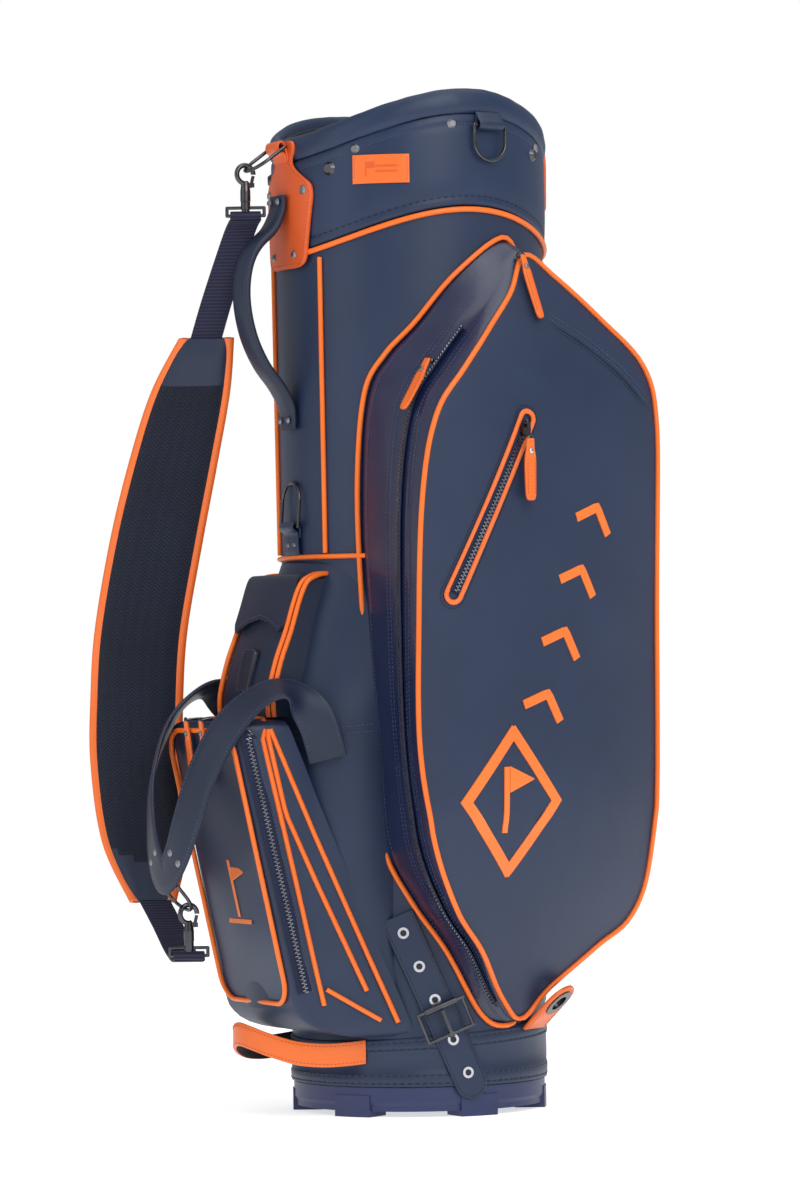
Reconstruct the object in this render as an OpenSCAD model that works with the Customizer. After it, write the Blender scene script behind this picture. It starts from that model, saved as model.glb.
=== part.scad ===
// Golf staff bag: round tube on a cup base, padded cuff with a six-way divider,
// two apparel pockets, a ball pocket, a small pouch and a clip-on shoulder strap.
// The front, with the handle and the ball pocket, faces -Y. +Z is up.

/* [Tube] */
// Height of the rim at its two high sides
bag_h = 898; // [760:1:1080]
// Outer radius of the tube at the base
tube_r_low = 113; // [100:0.5:136]
// Outer radius of the tube under the cuff
tube_r_high = 119.5; // [106:0.5:143]
// Thickness of the leather panels
panel_t = 2.4; // [1.6:0.1:3.4]
// Height of the base cup and its band
base_h = 74; // [60:1:92]

/* [Cuff] */
// Height of the cuff from its piping to the rim
cuff_h = 144; // [116:1:176]
// How much the rim dips at the front and back
rim_dip = 36; // [20:1:46]
// Height of the padded rim roll
rim_roll = 23; // [14:1:30]
// How far the cuff stands out past the tube
cuff_out = 2; // [1:0.5:4]

/* [Dividers] */
// Thickness of a divider bar
bar_t = 8; // [6:0.5:11]
// Distance of the cross bars from the middle
bar_y = 35; // [28:1:42]
// Thickness of the padding on a bar
sleeve_t = 4; // [3:0.5:6]

/* [Pockets] */
// Height of the ball pocket
ball_h = 278; // [220:1:340]
// Width of the flat front of the ball pocket
ball_w = 132; // [110:1:156]
// Reach of the ball pocket from the middle of the tube, at its top
ball_reach = 212; // [200:1:240]
// Width of the small pouch
pouch_w = 94; // [78:1:112]
// How far the apparel panels stand off the tube
apparel_depth = 69; // [50:1:84]
// How far the left apparel pocket comes round to the front, as a share of the right one's reach
left_share = 0.48; // [0.4:0.02:1]
// Wall of the sewn pockets
pocket_wall = 3.5; // [2.5:0.25:5]

/* [Straps] */
// Width of the shoulder pad
pad_w = 82; // [68:1:98]
// Thickness of the shoulder pad
pad_t = 13; // [9:0.5:16]
// Width of the strap webbing
web_w = 28; // [22:1:30]
// Width of the anchor strap
anchor_w = 34; // [26:1:40]
// Width of the carry handle
handle_w = 28; // [22:1:34]

/* [Hardware] */
// Wire of the D-rings
ring_wire = 3.2; // [2.4:0.1:4]
// Inner width of the D-rings
ring_w = 30; // [24:1:36]
// Diameter of the cap rivets
rivet_d = 9; // [6:0.5:12]
// Inner diameter of the umbrella grommet
grommet_d = 16; // [12:0.5:20]

/* [Hidden] */

$fn = 64;
gap = 0.3;                       // running gap between pieces on different bodies
seat = 0.2;                      // how far a sewn piece sits off the one under it
foot_drop = 5;                   // feet below the cup
cup_floor = 4;
cup_wall = 2;
liner_t = 1.5;
cuff_r = tube_r_high + cuff_out;
cuff_in = tube_r_high - 8;       // inside of the cuff foam
rim_low = bag_h - rim_dip;       // rim height at the front
seam_low = rim_low - cuff_h + rim_dip;   // cuff piping at the front
piping_d = 4;
saddle_r = (cuff_r * cuff_r + rim_dip * rim_dip) / (2 * rim_dip);
liner_r = min(tube_r_low, tube_r_high) - panel_t - 0.3;    // outside of the inner liner
grid_r = liner_r - liner_t;      // outside of the divider grid
grid_top = rim_low - 18;
grid_h = 30;
block_top = height_at(488);
body_mid_r = (tube_r_low + tube_r_high) / 2;
girth = body_mid_r / 116.25;     // soft pieces grow with the tube's girth
ball_top = base_h - 4 + ball_h;
pocket_turn = 8.5;               // the apparel pockets sit slightly towards the back
bow_r = 443;                     // bow of the apparel panel, in plan

// Maps a height drawn on the 898 mm bag to this bag's body, from base to cuff seam.
function height_at(z) = base_h + (z - 74) * (seam_low - base_h) / (754 - 74);
function tube_r(z) = tube_r_low + (tube_r_high - tube_r_low) * (z - base_h) / (seam_low - base_h);
// Rise of the rim's saddle curve at a distance x from the middle plane.
function saddle(x) = saddle_r - sqrt(saddle_r * saddle_r - x * x);
function unit(v) = v / norm(v);
function polar(r, a) = [r * sin(a), -r * cos(a)];
function flatten(l) = [for (a = l) for (b = a) b];
// A smooth curve through points, as Catmull-Rom spans of n steps; loop closes it.
function curve(p, n, loop = false) = let (m = len(p), last = loop ? m : m - 1) concat(
    [for (i = [0 : last - 1], j = [0 : n - 1]) let (
        a = p[loop ? (i + m - 1) % m : max(i - 1, 0)], b = p[i], c = p[(i + 1) % m],
        d = p[loop ? (i + 2) % m : min(i + 2, m - 1)], t = j / n)
        0.5 * (2 * b + (c - a) * t + (2 * a - 5 * b + 4 * c - d) * t * t
            + (3 * b - a - 3 * c + d) * t * t * t)],
    loop ? [] : [p[m - 1]]);
// Moves a closed outline inwards by d, when it runs anticlockwise.
function inset(p, d) = let (m = len(p)) [for (i = [0 : m - 1])
    let (t = unit(p[(i + 1) % m] - p[(i + m - 1) % m])) p[i] + d * [-t[1], t[0]]];
function direction(p, i) = unit(p[min(i + 1, len(p) - 1)] - p[max(i - 1, 0)]);

// A closed solid over rings of points, all of the same count.
module loft(rings) {
    n = len(rings[0]);
    m = len(rings);
    low = m * n;
    ends = [for (r = [rings[0], rings[m - 1]]) [for (k = [0 : 2]) [for (q = r) q[k]]
        * [for (q = r) 1] / n]];
    polyhedron(concat(flatten(rings), ends), concat(
        [for (i = [0 : m - 2], j = [0 : n - 1]) for (s = [0, 1])
            let (k = (j + 1) % n) s == 0 ? [i * n + j, (i + 1) * n + j, i * n + k]
                : [i * n + k, (i + 1) * n + j, (i + 1) * n + k]],
        [for (j = [0 : n - 1]) [low, j, (j + 1) % n]],
        [for (j = [0 : n - 1]) [low + 1, (m - 1) * n + (j + 1) % n, (m - 1) * n + j]]));
}

// A round cord along points.
module tube_along(p, d, sides = 8) {
    loft([for (i = [0 : len(p) - 1]) let (t = direction(p, i),
        a = unit(cross(t, abs(t[2]) > 0.9 ? [1, 0, 0] : [0, 0, 1])), b = cross(t, a))
        [for (j = [0 : sides - 1]) p[i] + d / 2 * (cos(j * 360 / sides) * a + sin(j * 360 / sides)
            * b)]]);
}

// A closed round cord along a loop of points.
module tube_loop(p, d, sides = 8) {
    m = len(p);
    rings = [for (i = [0 : m - 1]) let (t = unit(p[(i + 1) % m] - p[(i + m - 1) % m]),
        a = unit(cross(t, abs(t[2]) > 0.9 ? [1, 0, 0] : [0, 0, 1])), b = cross(t, a))
        [for (j = [0 : sides - 1]) p[i] + d / 2 * (cos(j * 360 / sides) * a + sin(j * 360 / sides) * b)]];
    polyhedron(flatten(rings), [for (i = [0 : m - 1], j = [0 : sides - 1]) for (s = [0, 1])
        let (k = (j + 1) % sides, h = (i + 1) % m) s == 0 ? [i * sides + j, h * sides + j, i * sides + k]
            : [i * sides + k, h * sides + j, h * sides + k]]);
}

// A flat band along points: each with the direction of its width, and its width.
module band(p, across, w, t) {
    loft([for (i = [0 : len(p) - 1]) let (
        n = unit(cross(across[i], direction(p, i))), a = across[i] * w[i] / 2, b = n * t / 2,
        e = across[i] * min(t / 3, w[i] / 6))
        [p[i] - a, p[i] - a + e + b, p[i] + a - e + b, p[i] + a, p[i] + a - e - b, p[i] - a + e - b]]);
}

module rod(a, b, d) {
    v = b - a;
    translate(a) rotate([0, acos(v[2] / norm(v)), atan2(v[1], v[0])]) cylinder(d = d, h = norm(v));
}
module tube_solid(grow) {
    cylinder(r1 = tube_r(0) + grow, r2 = tube_r(bag_h) + grow, h = bag_h, $fn = 128);
}
module ring(r_out, r_in, h) {
    difference() {
        cylinder(r = r_out, h = h, $fn = 128);
        translate([0, 0, -1]) cylinder(r = r_in, h = h + 2, $fn = 128);
    }
}
// Everything above the saddle curve whose low point is at height z.
module above_saddle(z) {
    translate([0, 0, z + saddle_r]) rotate([90, 0, 0])
        cylinder(r = saddle_r, h = 600, center = true, $fn = 256);
}
module wedge(a, b) {
    far = 400;
    linear_extrude(bag_h + 40) polygon(concat([[0, 0]], [for (i = [0 : 4]) polar(far,
        a + (b - a) * i / 4)]));
}
// An outline in x and z, cut right through along -Y.
module front_cut(points, reach = 300) {
    rotate([90, 0, 0]) linear_extrude(reach) polygon(points);
}
// An outline in y and z, w wide along X.
module side_cut(points, w) {
    translate([-w / 2, 0, 0]) rotate([90, 0, 90]) linear_extrude(w) polygon(points);
}
module at_angle(a) {
    rotate([0, 0, a]) children();
}
module both_sides() {
    children();
    mirror([1, 0, 0]) children();
}

// ---- base ----
foot_w = 36;
foot_h = 19;
foot_angles = [30 : 60 : 330];
cup_r = tube_r_low - 1;
foot_reach = 25;
foot_wall = 3.4;
foot_sole = foot_drop + 2;
// A foot goes under the cup's edge and up the outside of its wall.
module foot_shape() {
    intersection() {
        union() {
            ring(cup_r + 1.2, cup_r - foot_reach, foot_sole);
            ring(cup_r + 1.2, cup_r + 1.2 - foot_wall, foot_h);
        }
        translate([-foot_w / 2, -cup_r - 5, 0]) cube([foot_w, 60, foot_h]);
    }
}
module base_cup() {
    color("#20294f") difference() {
        union() {
            translate([0, 0, foot_drop]) cylinder(r1 = cup_r - 4, r2 = cup_r, h = 8);
            translate([0, 0, foot_drop + 8]) cylinder(r = cup_r, h = 13);
            cylinder(r = liner_r, h = base_h - 6);
            cylinder(r = 30, h = foot_drop);
        }
        difference() {
            translate([0, 0, -1]) cylinder(r = cup_r + 1, h = foot_drop + 1);
            translate([0, 0, -2]) cylinder(r = 30, h = foot_drop + 3);
        }
        translate([0, 0, foot_drop + cup_floor]) cylinder(r = liner_r - cup_wall, h = base_h);
        for (a = foot_angles) at_angle(a) foot_shape();
    }
}
module base_feet() {
    color("#20294f") for (a = foot_angles) at_angle(a) foot_shape();
}
band_low = 26;
module base_band() {
    color("#2d3a54") difference() {
        translate([0, 0, band_low]) ring(tube_r_low + 0.6, liner_r + 0.1, base_h);
        band_top_cut();
    }
}
// The band is a little taller at the back than at the front.
module band_top_cut(grow = 0) {
    translate([0, 0, base_h - grow]) rotate([4, 0, 0]) translate([-200, -200, 0]) cube([400, 400, 1200]);
}

// ---- tube ----
stay_d = 6;
stay_angles = [55, 125, 235, 305];
stay_r = liner_r - liner_t - stay_d / 2 - 1.2;
module stays(grow = 0) {
    for (a = stay_angles) at_angle(a)
        translate([0, -stay_r, foot_drop + cup_floor + liner_t]) cylinder(d = stay_d + grow,
            h = grid_top - 8 - foot_drop - cup_floor - liner_t, $fn = 24);
}
module frame_stays() {
    color("#8f9498") stays();
}
liner_top = seam_low + 24;
module body_liner() {
    low = base_h - 5.8;
    color("#15171f") translate([0, 0, low]) ring(liner_r, liner_r - liner_t, liner_top - low);
}
divider_t = 1.5;
divider_low = foot_drop + cup_floor + 1;
module divider_plan(t) {
    square([t, 400], center = true);
    for (s = [-1, 1]) translate([0, s * bar_y]) square([400, t], center = true);
}
module club_dividers() {
    color("#22252e") intersection() {
        translate([0, 0, divider_low]) linear_extrude(grid_top - grid_h - divider_low)
            divider_plan(divider_t);
        cylinder(r = stay_r - stay_d / 2 - 1, h = bag_h);
    }
}
module divider_grid() {
    color("#14161c") difference() {
        union() {
            translate([0, 0, grid_top - grid_h]) ring(grid_r - 0.2, grid_r - 9, grid_h);
            intersection() {
                translate([0, 0, grid_top - grid_h]) linear_extrude(grid_h) divider_plan(bar_t);
                cylinder(r = grid_r - 4, h = bag_h);
            }
        }
        stays(0.1);
    }
}
module divider_sleeves() {
    color("#1b1e28") difference() {
        intersection() {
            translate([0, 0, grid_top - grid_h]) linear_extrude(grid_h + sleeve_t)
                divider_plan(bar_t + 2 * sleeve_t);
            cylinder(r = grid_r - 9.2, h = bag_h);
        }
        translate([0, 0, grid_top - grid_h - 1]) linear_extrude(grid_h + 1) divider_plan(bar_t);
    }
}
spine_half = 22;                 // half angle of the spine panel
back_from = 163;                 // where the back panel starts
module panel(a, b) {
    difference() {
        intersection() {
            difference() {
                tube_solid(0);
                tube_solid(-panel_t);
            }
            wedge(a, b);
        }
        above_saddle(seam_low);
        difference() {
            translate([-200, -200, -1]) cube([400, 400, base_h + 60]);
            band_top_cut(-0.1);
        }
    }
}
module spine_panel() {
    color("#2d3a54") panel(-spine_half, spine_half);
}
module side_panels() {
    color("#2d3a54") both_sides() panel(spine_half, back_from);
}
module back_panel() {
    color("#2d3a54") panel(back_from, 360 - back_from);
}
ring_piping_r = cuff_r - 0.5;
module tube_piping() {
    color("#e06a20") {
        tube_loop([for (a = [0 : 7.5 : 352.5]) let (q = polar(ring_piping_r, a))
            [q[0], q[1], seam_low + piping_d / 2 + saddle(q[0])]], piping_d - 0.2);
        both_sides() rod(spine_point(block_top + 7), spine_point(seam_low - 2), piping_d - 0.4);
        both_sides() rod(back_point(base_h + 22), back_point(seam_low + 2), piping_d - 0.4);
    }
}
function tube_point(a, z, lift) = let (q = polar(tube_r(z) + lift, a)) [q[0], q[1], z];
function spine_point(z) = tube_point(spine_half, z, 1.95);
function back_point(z) = tube_point(back_from, z, 1.95);

// ---- cuff ----
cuff_gap = 5.5;
module cuff() {
    color("#30405c") difference() {
        intersection() {
            translate([0, 0, seam_low - 5]) ring(cuff_r, cuff_in, bag_h);
            above_saddle(seam_low + cuff_gap);
        }
        above_saddle(rim_low - rim_roll);
    }
}
module cuff_rim() {
    color("#34435f") difference() {
        intersection() {
            translate([0, 0, seam_low]) ring(cuff_r + 0.8, cuff_in, bag_h);
            above_saddle(rim_low - rim_roll + 0.1);
        }
        above_saddle(rim_low);
    }
}
module cuff_lining() {
    color("#101218") difference() {
        translate([0, 0, liner_top + 0.2]) ring(cuff_in - 0.1, grid_r + 0.1, bag_h - liner_top);
        above_saddle(rim_low - 4);
    }
}
module rim_handle() {
    color("#c85a23") difference() {
        at_angle(180) intersection() {
            translate([0, 0, seam_low]) ring(cuff_r + 3.8, cuff_r + 1, bag_h);
            front_cut([[-40, rim_low - 62], [40, rim_low - 62], [44, rim_low - 12], [24, rim_low + 2],
                [-24, rim_low + 2], [-44, rim_low - 12]]);
        }
        above_saddle(rim_low - 1);
    }
}
rivet_angles = [40, 81, 131, -131, -81, -40];
rivet_low = rim_low - rim_roll - 8;
function cuff_height(a, low) = low + saddle(cuff_r * sin(a));
module cap(r_from, d, t) {
    rotate([90, 0, 0]) translate([0, 0, r_from]) cylinder(d1 = d, d2 = d * 0.6, h = t, $fn = 32);
}
yoke_t = 2.6;
tab_t = 2.4;
plate_r = cuff_r + 1.6;          // inside of the leather patches on the cuff
module rivets() {
    color("#74777f") {
        for (a = rivet_angles) at_angle(a) translate([0, 0, cuff_height(a,
            rivet_low)]) cap(cuff_r + seat, rivet_d, 2);
        for (s = [-1, 1]) {
            at_angle(s * 15) translate([0, 0, rim_low - 49]) cap(plate_r + yoke_t + seat, 8, 1.8);
            at_angle(s * 8.8) translate([0, 0, rim_low - 105]) cap(plate_r + yoke_t + seat, 7, 1.8);
            translate([s * 8, 0, handle_top + 8]) cap(handle_seat + handle_t + seat, 6, 1.8);
            translate([s * 8, 0, handle_low - 8]) cap(tube_r(handle_low) + handle_t + 0.8, 6, 1.8);
            translate([s * 6, 0, spine_ring_z - 16]) cap(spine_plate_r + seat, 6, 1.6);
        }
    }
}
module hood_studs() {
    color("#3b3d44") for (a = [28, 127, -28, -127]) at_angle(a)
        translate([0, 0, cuff_height(a, rim_low - 40)]) cap(cuff_r + seat, 12.5, 3.2);
}
module cuff_label() {
    color("#e06a20") at_angle(51) intersection() {
        translate([0, 0, seam_low]) ring(cuff_r + 1.6, cuff_r + seat, bag_h);
        front_cut([[-25, rim_low - 47], [25, rim_low - 47], [25, rim_low - 23], [-25, rim_low - 23]]);
    }
}

// ---- D-rings ----
towel_angle = 97;
towel_z = cuff_height(towel_angle, rim_low - 32);
towel_hinge_r = cuff_r + 5.2;
spine_ring_z = block_top + 30;
spine_hinge_r = tube_r(spine_ring_z) + 5.2;
spine_plate_r = tube_r(spine_ring_z) + 3.4;
// A D-shaped wire ring that hangs from the X axis.
module d_ring(w, drop, wire) {
    r = (w + wire) / 2;
    rotate([0, 90, 0]) translate([0, 0, -r]) cylinder(d = wire, h = 2 * r, $fn = 24);
    for (s = [-1, 1]) translate([s * r, 0, 0]) {
        sphere(d = wire, $fn = 24);
        translate([0, 0, r - drop]) cylinder(d = wire, h = drop - r, $fn = 24);
    }
    translate([0, 0, r - drop]) rotate([90, 0, 0]) rotate([0, 0, 180]) rotate_extrude(angle = 180,
        $fn = 48)
        translate([r, 0]) circle(d = wire, $fn = 24);
}
// A stitched loop tab: a plate on the cuff or tube with a tunnel for the ring's bar.
module loop_tab(w, up, down, reach) {
    difference() {
        union() {
            translate([-w / 2, 0, -down]) cube([w, tab_t, up + down]);
            rotate([0, 90, 0]) translate([0, 0, -w / 2]) cylinder(r = reach, h = w, $fn = 32);
        }
        rotate([0, 90, 0]) translate([0, 0, -w]) cylinder(d = ring_wire + 2 * gap, h = 2 * w, $fn = 32);
    }
}
tab_w = ring_w - 4;
module ring_tabs() {
    color("#2d3a54") {
        at_angle(towel_angle) translate([0, -towel_hinge_r, towel_z]) difference() {
            loop_tab(tab_w, 10, 9, 4);
            translate([0, towel_hinge_r, -40]) cylinder(r = cuff_r + seat, h = 80, $fn = 128);
        }
        translate([0, -spine_hinge_r, spine_ring_z]) difference() {
            union() {
                loop_tab(tab_w, 4, 10, 4);
                translate([-tab_w / 2, spine_hinge_r - spine_plate_r, -24]) cube([tab_w, 4, 20]);
            }
            translate([0, spine_hinge_r, -spine_ring_z]) tube_solid(seat);
        }
    }
}
ring_drop = 31;
module towel_ring() {
    color("#3b3d44") at_angle(towel_angle) translate([0, -towel_hinge_r, towel_z]) d_ring(ring_w,
        ring_drop, ring_wire);
}
module spine_ring() {
    color("#3b3d44") translate([0, -spine_hinge_r, spine_ring_z]) mirror([0, 0, 1])
        rotate([4, 0, 0]) d_ring(ring_w, ring_drop + 8, ring_wire);
}

// ---- handle ----
handle_top = rim_low - 66;
handle_low = height_at(620);
handle_t = 7.5;
module handle_yoke() {
    color("#be4b23") {
        intersection() {
            translate([0, 0, seam_low - 20]) ring(plate_r + yoke_t, plate_r, bag_h);
            front_cut([for (q = curve([[0, rim_low - 4], [18, rim_low - 5], [19, rim_low - 14], [15,
                rim_low - 22],
                [24, rim_low - 33], [41, rim_low - 44], [43, rim_low - 56], [38, rim_low - 84], [35,
                    rim_low - 108],
                [28, rim_low - 116], [0, rim_low - 117], [-28, rim_low - 116], [-35, rim_low - 108],
                [-38, rim_low - 84], [-43, rim_low - 56], [-41, rim_low - 44], [-24, rim_low - 33],
                [-15, rim_low - 22], [-19, rim_low - 14], [-18, rim_low - 5]], 2, true)) q]);
        }
        translate([0, -strap_ring_r, strap_ring_z]) difference() {
            rotate([0, 90, 0]) translate([0, 0, -12]) cylinder(r = 4.6, h = 24, $fn = 32);
            rotate([0, 90, 0]) translate([0, 0, -13]) cylinder(d = ring_wire + 2 * gap + 0.4, h = 26,
                $fn = 32);
            translate([0, strap_ring_r, -40]) cylinder(r = plate_r + yoke_t + 0.05, h = 80, $fn = 128);
        }
    }
}
strap_ring_r = plate_r + yoke_t + 4.4;
strap_ring_z = rim_low - 10;
strap_ring_lean = 54;
strap_ring_drop = 36;
hook_side = -9;                  // the upper hook hangs to this side of the ring's middle
ring_arc = (ring_w + ring_wire) / 2;
upper_reach = strap_ring_drop - ring_arc + sqrt(ring_arc * ring_arc - hook_side * hook_side);
upper_link = [hook_side, -strap_ring_r - upper_reach * sin(strap_ring_lean),
    strap_ring_z - upper_reach * cos(strap_ring_lean)];
anchor_lean = 40;
anchor_drop = 28;
anchor_eye = [0, -(ball_reach + 32), height_at(205)];
lower_link = anchor_eye + anchor_drop * [0, sin(anchor_lean), -cos(anchor_lean)];
module strap_rings() {
    color("#3b3d44") {
        translate([0, -strap_ring_r, strap_ring_z]) rotate([-strap_ring_lean, 0, 0]) d_ring(ring_w,
            strap_ring_drop, ring_wire);
        translate(anchor_eye) rotate([anchor_lean, 0, 0]) d_ring(ring_w, anchor_drop, ring_wire);
    }
}
handle_seat = plate_r + yoke_t + 0.6;
// Points of the handle's middle line: distance off the tube, and height over its foot.
handle_arc = [[-handle_t / 2 - 0.4, -16], [-handle_t / 2 - 0.4, -4], [-7, 8], [-15, 22], [-29, 40],
    [-40, 62],
    [-46, 86], [-47, 108], [-43, 129], [-34, 145]];
handle_path = curve(concat([for (q = handle_arc) [q[0] - tube_r(handle_low + q[1]), handle_low + q[1]
    * (handle_top - handle_low) / 176]], [[-handle_seat - 12, handle_top - 16],
        [-handle_seat - handle_t / 2, handle_top + 2],
    [-handle_seat - handle_t / 2, handle_top + 14]]), 3);
// The two long edges of a ribbon that follows a path in y and z.
function ribbon(p, t) = concat([for (i = [0 : len(p) - 1]) let (d = direction(p,
    i)) p[i] + t / 2 * [-d[1], d[0]]],
    [for (i = [len(p) - 1 : -1 : 0]) let (d = direction(p, i)) p[i] - t / 2 * [-d[1], d[0]]]);
module carry_handle() {
    color("#2d3a54") side_cut(ribbon(handle_path, handle_t), handle_w);
}

// ---- front block, pouch and ball pocket ----
// Middle and radius of the block's rounded front, by height.
function block_y(z) = -girth * lookup(z, [[height_at(352), 74], [height_at(387), 56],
    [height_at(440), 42], [block_top, 25]]);
function block_r(z) = girth * lookup(z, [[height_at(352), 89], [height_at(387), 91], [block_top, 94]]);
block_levels = [height_at(110), height_at(200), height_at(300), height_at(352), height_at(370),
    height_at(387),
    height_at(412), height_at(440), height_at(464), block_top];
module block_solid(grow) {
    loft([for (z = block_levels) [for (a = [0 : 10 : 350]) let (q = polar(block_r(z) + grow, a))
        [q[0], q[1] + block_y(z), z + (z == block_top ? grow : 0)]]]);
}
// The slanted line where the ball pocket's rear seam crosses the block.
slant_top = [-girth * 166, ball_top];
slant_low = [-girth * 60, base_h + 2];
function slant_y(z) = slant_low[0] + (slant_top[0] - slant_low[0])
    * (z - slant_low[1]) / (slant_top[1] - slant_low[1]);
function slant_z(y) = slant_low[1] + (slant_top[1] - slant_low[1])
    * (y - slant_low[0]) / (slant_top[0] - slant_low[0]);
block_back = -girth * 94;
module front_block() {
    color("#2d3a54") difference() {
        intersection() {
            block_solid(0);
            side_cut([[block_back, block_top + 20], [-300, block_top + 20], [-300, ball_top + 0.3],
                [slant_top[0], ball_top + 0.3], [block_back, slant_z(block_back) + 0.3]], 400);
        }
        block_solid(-pocket_wall);
        tube_solid(seat);
    }
}
pouch_top = height_at(473);
pouch_low = ball_top + 4;
function pouch_shape(d) = [[block_back, pouch_low + d], [-girth * 168 + d, pouch_low + d],
    [-girth * 167 + d, height_at(374)],
    [-girth * 160 + d, height_at(400)], [-girth * 150 + d, height_at(426)], [-girth * 143 + d,
        height_at(448)],
    [-girth * 136 + d, pouch_top - 4 - d / 2], [-girth * 130 + d, pouch_top - d], [block_back,
        pouch_top - d]];
module pouch_body() {
    color("#2a3650") difference() {
        side_cut(pouch_shape(0), pouch_w);
        side_cut(pouch_shape(pocket_wall), pouch_w - 2 * pocket_wall);
        block_solid(seat);
    }
}
flap_hinge = [-girth * 131, pouch_top + 1.6];
flap_tip = [-girth * 154.6, height_at(424)];
module pouch_flap() {
    color("#2a3650") intersection() {
        side_cut(ribbon([flap_hinge, flap_hinge + [-6, -0.5], [-girth * 139.6, pouch_top - 6],
            [-girth * 146.3, height_at(448)], flap_tip], 2.2), pouch_w + 4);
        front_cut([[-pouch_w, pouch_top + 9], [-pouch_w / 2 - 2, height_at(430)], [-pouch_w / 2 + 6,
            height_at(424)],
            [0, height_at(436)], [pouch_w / 2 - 6, height_at(424)], [pouch_w / 2 + 2, height_at(430)],
            [pouch_w, pouch_top + 9]]);
    }
}
module pouch_plate() {
    color("#1c2436") side_cut(ribbon([[-girth * 159.8, height_at(410)], [-girth * 168.3,
        height_at(376)]], 2), 20);
}
ball_low = base_h + 24;
function ball_front(z) = -lookup(z, [[ball_low, ball_reach - 54], [ball_top - 14, ball_reach - 1]]);
function ball_shape(d) = [[-60 * girth, base_h - 3 + d], [ball_front(ball_low) + 48, base_h - 3 + d],
    [ball_front(ball_low) + 22 + d, base_h + 4 + d], [ball_front(ball_low) + 6 + d, base_h + 14 + d],
    [ball_front(ball_low) + d, ball_low + 4],
    [ball_front(ball_top - 14) + d, ball_top - 14], [ball_front(ball_top) + 4 + d, ball_top - 4 - d / 2],
    [ball_front(ball_top) + 14 + d, ball_top - d], [slant_top[0], ball_top - d],
    [slant_low[0], slant_low[1]], [-60 * girth, slant_low[1]]];
function ball_plan(d) = let (w = ball_w / 2 - d, k = ball_reach + 4) concat(
    [[w - 10, -k], [w - 3, -k + 3], [w, -k + 10], [w + 2, -k + 36], [w + 8, -k + 76],
        [w + 20 * girth, -k + 120], [w + 32 * girth, -60 * girth]],
    [[-w - 32 * girth, -60 * girth], [-w - 20 * girth, -k + 120], [-w - 8, -k + 76], [-w - 2, -k + 36],
        [-w, -k + 10], [-w + 3, -k + 3], [-w + 10, -k]]);
module ball_solid(d) {
    intersection() {
        side_cut(ball_shape(d), 400);
        linear_extrude(bag_h) polygon(ball_plan(d));
    }
}
module ball_pocket() {
    color("#29344c") difference() {
        ball_solid(0);
        ball_solid(pocket_wall);
        tube_solid(seat + 0.6);
    }
}
// Points round the flat front of the ball pocket, at a share of the way to the tube.
function ball_loop(w, low, high, back, r) = [for (a = [0 : 15 : 345]) let (
    c = cos(a), s = sin(a), x = (w - r) * sign(c) * (abs(c) > 0.01 ? 1 : 0) + r * c,
    z = (low + high) / 2 + ((high - low) / 2 - r) * sign(s) * (abs(s) > 0.01 ? 1 : 0) + r * s)
    [x, ball_front(z) - back, z]];
module ball_piping() {
    color("#e06a20") {
        tube_loop(ball_loop(ball_w / 2 - 3, ball_low + 2, ball_top - 10, 2.1, 20), piping_d - 0.6);
        both_sides() tube_along([for (q = seam_line) [seam_x(q[0]) + 2.4, q[0], q[1]]], piping_d - 0.6);
        tube_along([for (a = [-36 : 8 : 36]) tube_point(a, block_top + 2.6, piping_d / 2)],
            piping_d - 0.6);
    }
}
// The pocket's side seam, from the top rear corner down to the base, in y and z.
seam_line = [for (i = [0 : 12]) let (t = i / 12) [slant_y(slant_low[1] + t
    * (ball_top - 6 - slant_low[1])) - 14 - 8 * t,
    slant_low[1] + t * (ball_top - 6 - slant_low[1])]];
// Half width of the ball pocket at a distance y from the middle.
function seam_x(y) = let (w = ball_w / 2, k = ball_reach + 4) lookup(y, [[-k, w - 10], [-k + 10, w],
    [-k + 36, w + 2],
    [-k + 76, w + 8], [-k + 120, w + 20 * girth], [-60 * girth, w + 32 * girth]]);

// ---- apparel pockets ----
// Distance of the panel from the tube's axis, by height.
function panel_out(z) = body_mid_r + lookup(z, [[height_at(70), 0.02], [height_at(82), 0.04],
    [height_at(110), 0.17],
    [height_at(150), 0.49], [height_at(200), 0.79], [height_at(250), 0.94], [height_at(300), 1],
        [height_at(560), 1],
    [height_at(620), 0.97], [height_at(660), 0.86], [height_at(700), 0.6], [height_at(740), 0.31],
    [height_at(768), 0.08]]) * apparel_depth;
function panel_point(t, z, d) = [panel_out(z) - t * t / (2 * bow_r) - d, t, z];
// The panel's edge, across and up, and where its gusset meets the tube, as an angle and a height.
panel_edge = [[30, 752], [0, 717], [-35, 684], [-70, 648], [-100, 608], [-114, 540], [-119, 430],
    [-119, 320],
    [-103, 240], [-75, 185], [-38, 146], [2, 100], [24, 84], [50, 110], [94, 145], [133, 173], [144, 240],
    [148, 450], [153, 600], [143, 655], [100, 696], [56, 734]];
gusset_foot = [[6, 766], [-16, 734], [-34, 690], [-46, 664], [-55, 630], [-58.7, 545], [-57, 430],
    [-53, 320],
    [-50, 240], [-38, 190], [-23, 146], [-8, 92], [4, 80], [15, 92], [38, 150], [53, 200], [58, 300],
        [58.5, 450],
    [58, 598], [51, 652], [31, 703], [16, 745]];
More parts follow.
